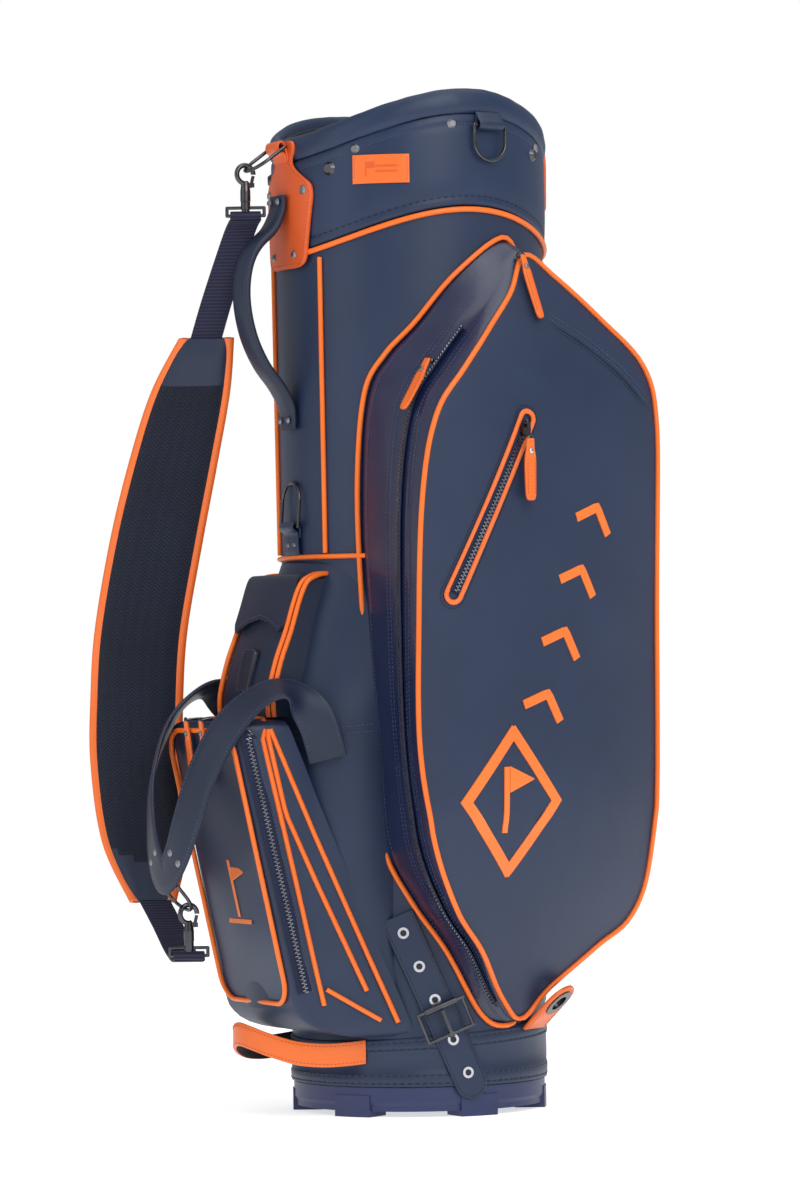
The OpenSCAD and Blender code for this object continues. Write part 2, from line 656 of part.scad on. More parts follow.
// The front half of an outline, drawn in by a share; each list below holds right, then left.
function narrowed(line, share) = [for (q = line) [q[0] * (q[0] < 0 ? share : 1), q[1]]];
foot_share = 1 - 0.77 * (1 - left_share);
edge_lines = [for (k = [1, left_share]) [for (q = narrowed(curve(panel_edge, 2, true), k))
    [q[0] * girth, height_at(q[1])]]];
foot_lines = [for (k = [1, foot_share]) [for (q = narrowed(curve(gusset_foot, 2, true), k))
    [q[0], height_at(q[1])]]];
function foot_point(q, lift) = [(tube_r(q[1]) + lift) * cos(q[0]), (tube_r(q[1]) + lift) * sin(q[0]),
    q[1]];
// The foot line a little way outside the gusset.
function foot_outer(side) = let (arc = body_mid_r * PI / 180)
    [for (q = inset([for (q = foot_lines[side]) [q[0] * arc, q[1]]], -2.4)) [q[0] / arc, q[1]]];
// Shapes drawn for the right side; side 1 mirrors them to the left.
module pocket_side(side) {
    if (side == 0) rotate([0, 0, pocket_turn]) children();
    else mirror([1, 0, 0]) rotate([0, 0, pocket_turn]) children();
}
pocket_mid = height_at(410);
module apparel_solid(side, d) {
    edge = inset(edge_lines[side], d);
    mid = [0, pocket_mid];
    shrink = 1 - d / 100;
    loft([[for (q = foot_lines[side]) let (p = foot_point(q, 0))
            [50, p[1] * 0.6, pocket_mid + (q[1] - pocket_mid) * 0.9]],
        [for (q = foot_lines[side]) let (p = foot_point(q, -1.5))
            [p[0] * shrink, p[1] * shrink, pocket_mid + (p[2] - pocket_mid) * shrink]],
        [for (q = edge) panel_point(q[0], q[1], d)],
        [for (q = edge) let (e = mid + (q - mid) * 0.84) panel_point(e[0], e[1], d - 1)],
        [for (q = edge) let (e = mid + (q - mid) * 0.6) panel_point(e[0], e[1], d - 1.6)],
        [for (q = edge) let (e = mid + (q - mid) * 0.3) panel_point(e[0], e[1], d - 1.8)]]);
}
module apparel_pocket(side) {
    color("#2d3a54") pocket_side(side) difference() {
        apparel_solid(side, 0);
        apparel_solid(side, pocket_wall);
        tube_solid(seat + 0.4);
    }
}
module apparel_pocket_right() {
    apparel_pocket(0);
}
module apparel_pocket_left() {
    apparel_pocket(1);
}
module pocket_piping() {
    color("#e06a20") for (side = [0, 1]) pocket_side(side) {
        tube_loop([for (q = inset(edge_lines[side], -1.7)) panel_point(q[0], q[1], -1.7)],
            piping_d - 0.6);
        tube_loop([for (q = foot_outer(side)) foot_point(q, 2.5)], piping_d - 0.6);
    }
}

// ---- zips ----
// A tape strip that follows the pocket's edge, a little outside its gusset.
function tape_point(side, i, share, lift) = let (e = inset(edge_lines[side], -lift)[i],
    p = panel_point(e[0], e[1], 0), f = foot_point(foot_lines[side][i], 0)) p + (f - p) * share;
// Two runs of tape, front and back, by the outline's points.
tape_runs = [[4, 22], [24, 40]];
tape_t = 1.2;
tape_lift = 2.2;
module zipper_tapes() {
    color("#161b33") {
        for (side = [0, 1], run = tape_runs) pocket_side(side) loft([for (i = [run[0] : run[1]])
            [tape_point(side, i, 0.28, tape_lift), tape_point(side, i, 0.28, tape_lift + tape_t),
                tape_point(side, i, 0.44, tape_lift + tape_t), tape_point(side, i, 0.44, tape_lift)]]);
        both_sides() loft([for (i = [0 : 8]) let (z = ball_low + 22 + (ball_top - ball_low - 60) * i / 8,
            y = ball_front(z) + 15, x = seam_x(y) + 0.5)
            [[x, y, z], [seam_x(y - 12) + 0.5, y - 12, z], [seam_x(y - 12) + 0.5 + tape_t, y - 12, z],
                [x + tape_t, y, z]]]);
    }
}
gusset_spots = [for (side = [0, 1]) tape_point(side, 6, 0.36, 8)];
top_spot = panel_point(20, height_at(752), -5);
ball_spots = [[15, -ball_reach + 26], [-15, -ball_reach + 26]];
slider_h = 3;
slider_d = 5;
module slider_body(w, l) {
    hull() for (s = [-1, 1]) translate([0, s * (l / 2 - w / 2), 0]) cylinder(d = w, h = slider_h,
        $fn = 24);
}
module zip_sliders() {
    color("#5a5d63") {
        for (side = [0, 1]) pocket_side(side) {
            translate(gusset_spots[side]) sphere(d = slider_d, $fn = 24);
            translate(top_spot) sphere(d = slider_d, $fn = 24);
        }
        for (p = ball_spots) translate([p[0], p[1], ball_top + seat]) slider_body(8, 14);
    }
}
// A flat pull that hangs from the X axis: a pin eye and a tapered tab.
module pull(w, l, t) {
    eye = 3;
    difference() {
        union() {
            rotate([0, 90, 0]) translate([0, 0, -w * 0.3]) cylinder(d = eye + 1.4, h = w * 0.6, $fn = 24);
            rotate([90, 0, 0]) translate([0, 0, -t / 2]) linear_extrude(t)
                polygon([[-w * 0.3, 0], [w * 0.3, 0], [w * 0.36, -8], [w / 2, -14], [w * 0.44,
                    -l + 3], [w * 0.26, -l],
                    [-w * 0.26, -l], [-w * 0.44, -l + 3], [-w / 2, -14], [-w * 0.36, -8]]);
        }
        rotate([0, 90, 0]) translate([0, 0, -w]) cylinder(d = eye - 1, h = 2 * w, $fn = 24);
    }
}
ball_pull_pivot = [15, -ball_reach - 7, ball_top - 1];
module ball_pull() {
    color("#e06a20") translate(ball_pull_pivot) rotate([6, 0, 0]) pull(9, 58, 2.4);
}
module ball_pull_right() {
    ball_pull();
}
module ball_pull_left() {
    mirror([1, 0, 0]) ball_pull();
}
gusset_lean = 32;
gusset_pull_spots = [for (p = gusset_spots) p + [0, -5, 0]];
top_lean = 24;
top_pull_spot = top_spot + [6, 0, -2];
module gusset_pull(side) {
    color("#e06a20") pocket_side(side) translate(gusset_pull_spots[side])
        rotate([-gusset_lean, 0, 0]) pull(11, 50, 2.4);
}
module gusset_pull_right() {
    gusset_pull(0);
}
module gusset_pull_left() {
    gusset_pull(1);
}
module top_pull(side) {
    color("#e06a20") pocket_side(side) translate(top_pull_spot)
        rotate([0, -top_lean, 0]) rotate([0, 0, 90]) pull(8, 60, 2.4);
}
module top_pull_right() {
    top_pull(0);
}
module top_pull_left() {
    top_pull(1);
}
// The slanted valuables zip on the right panel, from its top end to its low end.
security_top = [-14, height_at(604)];
security_low = [-88, height_at(456)];
security_w = 13;
module security_zip() {
    lean = atan2(security_low[0] - security_top[0], security_top[1] - security_low[1]);
    steps = 8;
    color("#161b33") rotate([0, 0, pocket_turn]) loft([for (i = [0 : steps]) let (
        c = security_top + (security_low - security_top) * i / steps, h = security_w / 2,
        a = c + h * [cos(lean), sin(lean)], b = c - h * [cos(lean), sin(lean)])
        [panel_point(a[0], a[1], -2.4), panel_point(a[0], a[1], -3.8), panel_point(b[0], b[1], -3.8),
            panel_point(b[0], b[1], -2.4)]]);
}
slide_top = panel_point(security_top[0], security_top[1], 0) + [8.6, -4, -8];
module security_slider() {
    color("#5a5d63") rotate([0, 0, pocket_turn]) translate(slide_top) {
        translate([-2.2, -4, -6]) cube([3, 8, 12]);
        translate([0.8, -2, 2]) cube([2.6, 4, 3]);
    }
}
security_pivot = slide_top + [5, 0, -9];
module security_pull() {
    color("#e06a20") rotate([0, 0, pocket_turn]) translate(security_pivot) rotate([0, 0,
        90]) pull(11, 52, 2.4);
}

// ---- buckle strap ----
buckle_angle = 72;
strap_t = 3;
strap_lift = 1.3;
strap_lean = 14;
strap_head = [-38, height_at(176)];
strap_foot = [26, 30];
function along_strap(s) = strap_head + (strap_foot - strap_head) * s;
strap_w = 30;
module buckle_strap() {
    d = unit(strap_foot - strap_head);
    n = [d[1], -d[0]] * strap_w / 2;
    color("#3a4a68") at_angle(buckle_angle) difference() {
        intersection() {
            difference() {
                tube_solid(strap_lift + strap_t);
                tube_solid(strap_lift);
            }
            front_cut(concat([strap_head + n, strap_head - n, strap_foot - n],
                [for (a = [30 : 30 : 150]) strap_foot - n * cos(a) + d * strap_w / 2 * sin(a)],
                [strap_foot + n]));
        }
        for (s = eyelet_shares) eyelet_place(s) cylinder(d = 7, h = 40, center = true, $fn = 32);
    }
}
eyelet_shares = [0.1, 0.3, 0.5, 0.74, 0.94];
module eyelet_place(s) {
    p = along_strap(s);
    translate([p[0], -tube_x(p, strap_lift), p[1]]) rotate([90, 0, asin(p[0] / tube_r(p[1]))]) children();
}
function tube_x(p, lift) = sqrt(pow(tube_r(p[1]) + lift, 2) - p[0] * p[0]);
module strap_eyelets() {
    color("#9a9ca2") at_angle(buckle_angle) for (s = eyelet_shares) eyelet_place(s) difference() {
        union() {
            translate([0, 0, strap_t + 0.3]) cylinder(d = 10, h = 0.9, $fn = 32);
            translate([0, 0, 1.2]) cylinder(d = 6.9, h = strap_t - 0.8, $fn = 32);
        }
        cylinder(d = 5.6, h = 20, center = true, $fn = 32);
    }
}
buckle_share = 0.62;
module buckle_place() {
    p = along_strap(buckle_share);
    at_angle(buckle_angle + asin(p[0] / tube_r(p[1]))) translate([0,
        -tube_r(p[1]) - strap_lift - strap_t, p[1]])
        rotate([90, 0, 0]) rotate([0, 0, strap_lean + 8]) children();
}
buckle_w = 42;
roller_lift = 8.6;
module buckle_frame() {
    color("#6a6d74") buckle_place() {
        for (s = [-1, 1]) translate([s * (buckle_w / 2), 0, roller_lift])
            rotate([90, 0, 0]) translate([0, 0, -13]) cylinder(d = 3.4, h = 26, $fn = 24);
        for (s = [-1, 1]) translate([-buckle_w / 2 - 1.6, s * 13, roller_lift]) rotate([0, 90, 0])
            cylinder(d = 3.2, h = buckle_w + 3.2, $fn = 24);
    }
}
module buckle_roller() {
    color("#83868d") buckle_place() translate([-15, 13, roller_lift]) rotate([0, 90, 0]) difference() {
        cylinder(d = 6, h = 30, $fn = 32);
        translate([0, 0, -1]) cylinder(d = 3.3, h = 32, $fn = 32);
    }
}
module buckle_prong() {
    color("#83868d") buckle_place() difference() {
        union() {
            translate([-2.4, -13, roller_lift]) rotate([0, 90, 0]) cylinder(d = 6, h = 4.8, $fn = 32);
            translate([-1.5, -12, roller_lift + 0.6]) cube([3, 21.4, 2.2]);
        }
        translate([-4, -13, roller_lift]) rotate([0, 90, 0]) cylinder(d = 3.4, h = 8, $fn = 32);
    }
}

// ---- umbrella tab ----
tab_angle = 123;
tab_rise = 45;
tab_len = 52;
module tab_frame() {
    at_angle(tab_angle) translate([0, -tube_r_low - 3.8, base_h - 2]) rotate([-tab_rise, 0,
        0]) children();
}
module umbrella_tab() {
    color("#c85a23") tab_frame() difference() {
        union() {
            translate([-19, -tab_len + 18, 0]) cube([38, tab_len - 18, 3.4]);
            translate([0, -tab_len + 18, 0]) cylinder(r = 19, h = 3.4);
        }
        translate([0, -tab_len + 18, -1]) cylinder(d = grommet_d + 5, h = 8);
    }
}
module umbrella_grommet() {
    color("#4a4c52") tab_frame() translate([0, -tab_len + 18, -1.2]) difference() {
        union() {
            cylinder(d = grommet_d + 4.8, h = 5.8);
            cylinder(d = grommet_d + 12, h = 1.1);
            translate([0, 0, 4.7]) cylinder(d = grommet_d + 12, h = 1.1);
        }
        translate([0, 0, -1]) cylinder(d = grommet_d, h = 8);
    }
}

// ---- straps ----
grab_w = 21;
grab_t = 3.2;
// Half of the grab strap's middle line, from the tube's side to the front.
grab_half = [[70, -90.5, 57.5], [67, -108, 56], [60, -128, 55.5], [49, -148, 58], [34, -164, 64],
    [17, -174.5, 70], [0, -178, 73]];
function grab_at(q, s) = [s * q[0] * girth, q[1] * girth, q[2] + base_h - 74];
grab_line = curve(concat([for (q = grab_half) grab_at(q, 1)],
    [for (i = [len(grab_half) - 2 : -1 : 0]) grab_at(grab_half[i], -1)]), 4);
module grab_strap() {
    color("#e06a20") difference() {
        band(grab_line, [for (q = grab_line) [0, 0, 1]], [for (q = grab_line) grab_w], grab_t);
        cylinder(r = tube_r_low + 0.9, h = base_h, $fn = 128);
    }
}
anchor_half = [[80, -128, 314], [79, -140, 350], [73, -162, 375], [66, -190, 368], [59, -217, 340],
    [49, -236, 300], [37, -244, 262], [21, -248, 230], [0, -249, 214]];
anchor_face = [[0.83, -0.55, 0], [0.83, -0.5, 0.25], [0.5, -0.1, 0.85], [0.4, -0.5, 0.75],
    [0.45, -0.85, 0.2], [0.35, -0.93, 0], [0.3, -0.95, 0], [0.15, -0.98, 0], [0, -1, 0]];
function side_of(q, s) = [s * q[0] * girth, q[1] - ball_reach + 212, height_at(q[2])];
anchor_line = curve(concat([for (q = anchor_half) side_of(q, 1)],
    [for (i = [len(anchor_half) - 2 : -1 : 0]) side_of(anchor_half[i], -1)]), 3);
anchor_facing = curve(concat(anchor_face, [for (i = [len(anchor_face) - 2 : -1 : 0])
    [-anchor_face[i][0], anchor_face[i][1], anchor_face[i][2]]]), 3);
module anchor_strap() {
    color("#29344c") band(anchor_line, [for (i = [0 : len(anchor_line) - 1])
        unit(cross(direction(anchor_line, i), anchor_facing[i]))], [for (q = anchor_line) anchor_w], 3);
}
strap_across = [0.5, 0.866, 0];
pad_route = [[-37, -183.5, 686], [-55, -191, 640], [-75, -199, 580], [-96, -207, 510], [-114, -215, 430],
    [-123, -216, 370], [-120.5, -218, 310], [-109, -216.5, 240], [-85, -220.5, 188]];
pad_share = [0.58, 0.84, 0.95, 1, 1, 1, 1, 0.92, 0.5];
function strap_at(q) = [q[0], q[1] - ball_reach + 212, height_at(q[2])];
pad_line = curve([for (q = pad_route) strap_at(q)], 3);
pad_width = curve([for (q = pad_share) [q * pad_w, 0]], 3);
module strap_pad() {
    color("#18223a") band(pad_line, [for (q = pad_line) strap_across], [for (q = pad_width) q[0]], pad_t);
}
hook_rise = 27.5;                // from the swivel to the link in its eye
bow_drop = 6;
upper_swivel = upper_link - [0, 0, hook_rise];
lower_swivel = lower_link - [0, 0, hook_rise];
web_t = 2.4;
// The webbing runs from the bow of each hook to the pad's ends.
module strap_webbing() {
    bow = [0, 0, -bow_low - 1.8];
    first = pad_line[0] - 2 * direction(pad_line, 0);
    last = pad_line[len(pad_line) - 1] + 2 * direction(pad_line, len(pad_line) - 1);
    up = curve([upper_swivel + bow, upper_swivel + [-12, -1, -bow_low - 14],
        strap_at([-34, -173, 722]), first], 3);
    low = curve([last, strap_at([-62, -217, 167]), strap_at([-38, -218, 148]),
        lower_swivel + [-14, 4, -bow_low - 3], lower_swivel + bow], 3);
    color("#1a1a33") for (p = [up, low]) band(p, [for (q = p) strap_across], [for (q = p) web_w], web_t);
}

// ---- snap hooks ----
hook_r = 8;
hook_wire = 4.4;
// A trigger hook with its eye ring up, from the swivel at the origin.
module hook_body() {
    cylinder(d = 9, h = 9, $fn = 32);
    translate([0, 0, 9]) cylinder(d1 = 9, d2 = 7, h = 8, $fn = 32);
    translate([0, 0, 24]) rotate([90, 0, 90]) rotate_extrude(angle = 290, $fn = 48) translate([hook_r, 0])
        circle(d = hook_wire, $fn = 24);
    for (s = [-1, 1]) difference() {
        translate([s * 2.6 - 0.8, 1.6, gate_pivot[2] - 2]) cube([1.6, 5.8, 4]);
        translate([-9, gate_pivot[1], gate_pivot[2]]) rotate([0, 90,
            0]) cylinder(d = gate_pin + 0.16, h = 18, $fn = 24);
    }
    translate([0, 0, -8]) cylinder(d = 4.4, h = 8.5, $fn = 24);
    translate([0, 0, -9]) cylinder(d = 7, h = 1.6, $fn = 24);
}
bow_low = 14;                    // from the swivel down to the underside of the bow
bow_wire = 3;
module bow_ring() {
    r = web_w / 2 + 2.4;
    high = -4 - bow_wire / 2;
    low = -bow_low + bow_wire / 2;
    rotate([0, 0, 60]) difference() {
        union() {
            for (z = [low, high]) translate([-r, 0, z]) rotate([0, 90, 0]) cylinder(d = bow_wire,
                h = 2 * r, $fn = 24);
            for (s = [-1, 1]) translate([s * r, 0, low]) {
                cylinder(d = bow_wire, h = high - low, $fn = 24);
                sphere(d = bow_wire, $fn = 24);
                translate([0, 0, high - low]) sphere(d = bow_wire, $fn = 24);
            }
            translate([0, 0, -7.2]) cylinder(d = 8.4, h = 6.9, $fn = 32);
        }
        translate([0, 0, -20]) cylinder(d = 5, h = 30, $fn = 24);
    }
}
module place_upper() {
    translate(upper_swivel) children();
}
module place_lower() {
    translate(lower_swivel) children();
}
module snap_hooks() {
    color("#55585f") {
        place_upper() hook_body();
        place_lower() hook_body();
    }
}
module hook_bows() {
    color("#3b3d44") {
        place_upper() bow_ring();
        place_lower() bow_ring();
    }
}
gate_pivot = [0, 5.6, 14.4];     // the gate's pin, from the swivel
gate_lean = 15;
gate_pin = 2.2;
module gate() {
    color("#83868d") translate(gate_pivot) {
        rotate([0, 90, 0]) translate([0, 0, -3.6]) cylinder(d = gate_pin, h = 7.2, $fn = 24);
        rotate([-gate_lean, 0, 0]) translate([-1.4, -1, 0]) cube([2.8, 2, 8.6]);
    }
}
module upper_gate() {
    place_upper() gate();
}
module lower_gate() {
    place_lower() gate();
}

base_cup();
base_feet();
base_band();
frame_stays();
body_liner();
club_dividers();
divider_grid();
divider_sleeves();
spine_panel();
side_panels();
back_panel();
tube_piping();
cuff();
cuff_rim();
cuff_lining();
rim_handle();
rivets();
hood_studs();
cuff_label();
ring_tabs();
towel_ring();
spine_ring();
handle_yoke();
strap_rings();
carry_handle();
front_block();
pouch_body();
pouch_flap();
pouch_plate();
ball_pocket();
ball_piping();
zipper_tapes();
zip_sliders();
ball_pull_right();
ball_pull_left();
apparel_pocket_right();
apparel_pocket_left();
pocket_piping();
gusset_pull_right();
gusset_pull_left();
top_pull_right();
top_pull_left();
security_zip();
security_slider();
security_pull();
buckle_strap();
strap_eyelets();
buckle_frame();
buckle_roller();
buckle_prong();
umbrella_tab();
umbrella_grommet();
grab_strap();
anchor_strap();
strap_pad();
strap_webbing();
snap_hooks();
hook_bows();
upper_gate();
lower_gate();
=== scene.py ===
# Golf staff bag: leather, piping, zips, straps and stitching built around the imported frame.
# All pieces are drawn in millimetres and scaled to metres when they are finished.
import bpy
import bmesh
import math
from mathutils import Matrix, Vector, noise


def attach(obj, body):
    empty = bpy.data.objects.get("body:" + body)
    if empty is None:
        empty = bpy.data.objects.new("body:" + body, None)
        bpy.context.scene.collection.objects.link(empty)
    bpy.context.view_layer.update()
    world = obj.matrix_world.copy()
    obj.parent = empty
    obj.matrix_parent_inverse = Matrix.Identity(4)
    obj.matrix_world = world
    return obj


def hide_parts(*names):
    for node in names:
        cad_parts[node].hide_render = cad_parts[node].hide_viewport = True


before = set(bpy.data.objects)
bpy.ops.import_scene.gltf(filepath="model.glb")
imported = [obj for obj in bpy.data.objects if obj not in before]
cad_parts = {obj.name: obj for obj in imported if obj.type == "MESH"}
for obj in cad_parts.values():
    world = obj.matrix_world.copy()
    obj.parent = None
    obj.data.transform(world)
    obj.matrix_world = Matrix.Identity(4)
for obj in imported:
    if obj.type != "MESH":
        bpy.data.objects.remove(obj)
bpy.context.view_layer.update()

# ---------- materials ----------


def srgb(r, g, b):
    return tuple(((c / 255 + 0.055) / 1.055) ** 2.4 if c > 10 else c / 255 / 12.92 for c in (r, g, b)) + (1,)


def newGroup(name, inputs, outputs):
    group = bpy.data.node_groups.new(name, "ShaderNodeTree")
    for label, kind, value in inputs:
        socket = group.interface.new_socket(label, in_out="INPUT", socket_type=kind)
        socket.default_value = value
    for label, kind in outputs:
        group.interface.new_socket(label, in_out="OUTPUT", socket_type=kind)
    return group, group.nodes.new("NodeGroupInput"), group.nodes.new("NodeGroupOutput")


def mathNode(tree, operation, a, b=None, clamp=False):
    node = tree.nodes.new("ShaderNodeMath")
    node.operation = operation
    node.use_clamp = clamp
    for k, value in enumerate((a, b)):
        if value is None:
            continue
        if isinstance(value, (int, float)):
            node.inputs[k].default_value = value
        else:
            tree.links.new(value, node.inputs[k])
    return node.outputs[0]


def blendColour(tree, factor, a, b):
    node = tree.nodes.new("ShaderNodeMix")
    node.data_type = "RGBA"
    for socket, value in ((node.inputs[0], factor), (node.inputs[6], a), (node.inputs[7], b)):
        if isinstance(value, (int, float, tuple)):
            socket.default_value = value
        else:
            tree.links.new(value, socket)
    return node.outputs[2]


def buildGrainGroup():
    # pebbled hide: small cells for the grain, slow noise for tone
    group, start, end = newGroup("hideGrain",
        [("Cell Scale", "NodeSocketFloat", 900.0), ("Tone Scale", "NodeSocketFloat", 9.0)],
        [("Height", "NodeSocketFloat"), ("Tone", "NodeSocketFloat"), ("Scuff", "NodeSocketFloat")])
    place = group.nodes.new("ShaderNodeTexCoord")
    cells = group.nodes.new("ShaderNodeTexVoronoi")
    cells.feature = "SMOOTH_F1"
    cells.inputs["Smoothness"].default_value = 0.6
    fine = group.nodes.new("ShaderNodeTexNoise")
    fine.inputs["Detail"].default_value = 3
    tone = group.nodes.new("ShaderNodeTexNoise")
    tone.inputs["Detail"].default_value = 4
    tone.inputs["Roughness"].default_value = 0.55
    for node in (cells, fine, tone):
        group.links.new(place.outputs["Object"], node.inputs["Vector"])
    group.links.new(start.outputs["Cell Scale"], cells.inputs["Scale"])
    group.links.new(mathNode(group, "MULTIPLY", start.outputs["Cell Scale"], 2.6), fine.inputs["Scale"])
    group.links.new(start.outputs["Tone Scale"], tone.inputs["Scale"])
    lumps = mathNode(group, "MULTIPLY", cells.outputs["Distance"], 0.8)
    group.links.new(mathNode(group, "ADD", lumps, mathNode(group, "MULTIPLY", fine.outputs["Fac"], 0.35)),
        end.inputs["Height"])
    spread = group.nodes.new("ShaderNodeMapRange")
    spread.inputs["From Min"].default_value = 0.32
    spread.inputs["From Max"].default_value = 0.68
    group.links.new(tone.outputs["Fac"], spread.inputs["Value"])
    group.links.new(spread.outputs["Result"], end.inputs["Tone"])
    scuff = group.nodes.new("ShaderNodeMapRange")
    scuff.inputs["From Min"].default_value = 0.62
    scuff.inputs["From Max"].default_value = 0.74
    group.links.new(fine.outputs["Fac"], scuff.inputs["Value"])
    group.links.new(scuff.outputs["Result"], end.inputs["Scuff"])
    return group


def buildWeaveGroup():
    # crossed threads that follow the piece's own UV map, in metres
    group, start, end = newGroup("wovenThreads",
        [("Along Pitch", "NodeSocketFloat", 0.001), ("Across Pitch", "NodeSocketFloat", 0.001),
            ("Zigzag", "NodeSocketFloat", 0.0), ("Zigzag Pitch", "NodeSocketFloat", 0.01)],
        [("Height", "NodeSocketFloat"), ("Thread", "NodeSocketFloat")])
    uv = group.nodes.new("ShaderNodeUVMap")
    split = group.nodes.new("ShaderNodeSeparateXYZ")
    group.links.new(uv.outputs["UV"], split.inputs["Vector"])
    along, across = split.outputs["X"], split.outputs["Y"]
    steps = mathNode(group, "DIVIDE", across, start.outputs["Zigzag Pitch"])
    fold = mathNode(group, "PINGPONG", steps, 1.0)
    bent = mathNode(group, "ADD", along, mathNode(group, "MULTIPLY", fold, start.outputs["Zigzag"]))
    warp = mathNode(group, "SINE", mathNode(group, "MULTIPLY",
        mathNode(group, "DIVIDE", bent, start.outputs["Along Pitch"]), 2 * math.pi))
    weft = mathNode(group, "SINE", mathNode(group, "MULTIPLY",
        mathNode(group, "DIVIDE", across, start.outputs["Across Pitch"]), 2 * math.pi))
    height = mathNode(group, "ADD", mathNode(group, "MULTIPLY", warp, 0.38),
        mathNode(group, "MULTIPLY", weft, 0.12))
    group.links.new(mathNode(group, "ADD", height, 0.5), end.inputs["Height"])
    group.links.new(mathNode(group, "MULTIPLY", mathNode(group, "ADD", warp, 1.0), 0.5, clamp=True),
        end.inputs["Thread"])
    return group


def buildWearGroup():
    # brushed and handled metal: fine streaks and smudges
    group, start, end = newGroup("handledMetal", [("Scale", "NodeSocketFloat", 60.0)],
        [("Smudge", "NodeSocketFloat"), ("Height", "NodeSocketFloat")])
    place = group.nodes.new("ShaderNodeTexCoord")
    smudge = group.nodes.new("ShaderNodeTexNoise")
    smudge.inputs["Detail"].default_value = 6
    streaks = group.nodes.new("ShaderNodeTexNoise")
    streaks.inputs["Scale"].default_value = 1400
    for node in (smudge, streaks):
        group.links.new(place.outputs["Object"], node.inputs["Vector"])
    group.links.new(start.outputs["Scale"], smudge.inputs["Scale"])
    group.links.new(smudge.outputs["Fac"], end.inputs["Smudge"])
    group.links.new(streaks.outputs["Fac"], end.inputs["Height"])
    return group


hideGrain = buildGrainGroup()
wovenThreads = buildWeaveGroup()
handledMetal = buildWearGroup()


def startMaterial(name):
    material = bpy.data.materials.new(name)
    material.use_nodes = True
    tree = material.node_tree
    return material, tree, tree.nodes["Principled BSDF"]


def addBump(tree, shader, height, strength, distance):
    bump = tree.nodes.new("ShaderNodeBump")
    bump.inputs["Strength"].default_value = strength
    bump.inputs["Distance"].default_value = distance
    tree.links.new(height, bump.inputs["Height"])
    tree.links.new(bump.outputs["Normal"], shader.inputs["Normal"])


def makeLeather(name, light, dark, roughness=0.5, cell=900.0, grain=0.25, specular=0.5, coat=0.0,
        scuffed=0.04):
    material, tree, shader = startMaterial(name)
    hide = tree.nodes.new("ShaderNodeGroup")
    hide.node_tree = hideGrain
    hide.inputs["Cell Scale"].default_value = cell
    colour = blendColour(tree, hide.outputs["Tone"], dark, light)
    pale = tuple(min(1, c * 1.5 + 0.02) for c in light[:3]) + (1,)
    colour = blendColour(tree, mathNode(tree, "MULTIPLY", hide.outputs["Scuff"], scuffed), colour, pale)
    tree.links.new(colour, shader.inputs["Base Color"])
    rough = mathNode(tree, "ADD", mathNode(tree, "MULTIPLY", hide.outputs["Tone"], 0.08), roughness - 0.04)
    tree.links.new(rough, shader.inputs["Roughness"])
    shader.inputs["Specular IOR Level"].default_value = specular
    shader.inputs["Coat Weight"].default_value = coat
    shader.inputs["Coat Roughness"].default_value = 0.12
    addBump(tree, shader, hide.outputs["Height"], grain, 0.0004)
    return material


def makeWoven(name, light, dark, alongPitch, acrossPitch, roughness=0.75, zigzag=0.0, zigzagPitch=0.01,
        relief=0.6, sheen=0.1):
    material, tree, shader = startMaterial(name)
    weave = tree.nodes.new("ShaderNodeGroup")
    weave.node_tree = wovenThreads
    for label, value in (("Along Pitch", alongPitch), ("Across Pitch", acrossPitch), ("Zigzag", zigzag),
            ("Zigzag Pitch", zigzagPitch)):
        weave.inputs[label].default_value = value
    hide = tree.nodes.new("ShaderNodeGroup")
    hide.node_tree = hideGrain
    # colour follows the threads' relief: lighter on the raised threads and painted shade in the grooves
    # between them, which on the spacer mesh are also its own darker openings
    colour = blendColour(tree, weave.outputs["Thread"], dark, light)
    shade = tuple(c * 0.7 for c in dark[:3]) + (1,)
    colour = blendColour(tree, mathNode(tree, "MULTIPLY", hide.outputs["Tone"], 0.35), colour, shade)
    tree.links.new(colour, shader.inputs["Base Color"])
    rough = mathNode(tree, "ADD", mathNode(tree, "MULTIPLY", hide.outputs["Scuff"], 0.1), roughness)
    tree.links.new(rough, shader.inputs["Roughness"])
    shader.inputs["Sheen Weight"].default_value = sheen
    shader.inputs["Specular IOR Level"].default_value = 0.25
    addBump(tree, shader, weave.outputs["Height"], relief, 0.0006)
    return material


def makeKnit(name, light, dark, cell=1100.0):
    material, tree, shader = startMaterial(name)
    hide = tree.nodes.new("ShaderNodeGroup")
    hide.node_tree = hideGrain
    hide.inputs["Cell Scale"].default_value = cell
    # colour follows the relief: painted shade in the knit's hollows and painted highlight on its raised loops
    tree.links.new(blendColour(tree, hide.outputs["Height"], dark, light), shader.inputs["Base Color"])
    rough = mathNode(tree, "ADD", mathNode(tree, "MULTIPLY", hide.outputs["Tone"], 0.1), 0.8)
    tree.links.new(rough, shader.inputs["Roughness"])
    shader.inputs["Sheen Weight"].default_value = 0.15
    shader.inputs["Specular IOR Level"].default_value = 0.2
    addBump(tree, shader, hide.outputs["Height"], 0.6, 0.0006)
    return material


def makeMetal(name, light, dark, roughness=0.3, metallic=1.0):
    material, tree, shader = startMaterial(name)
    wear = tree.nodes.new("ShaderNodeGroup")
    wear.node_tree = handledMetal
    tree.links.new(blendColour(tree, wear.outputs["Smudge"], dark, light), shader.inputs["Base Color"])
    rough = mathNode(tree, "ADD", mathNode(tree, "MULTIPLY", wear.outputs["Smudge"], 0.18), roughness - 0.09)
    tree.links.new(rough, shader.inputs["Roughness"])
    shader.inputs["Metallic"].default_value = metallic
    addBump(tree, shader, wear.outputs["Height"], 0.05, 0.0002)
    return material


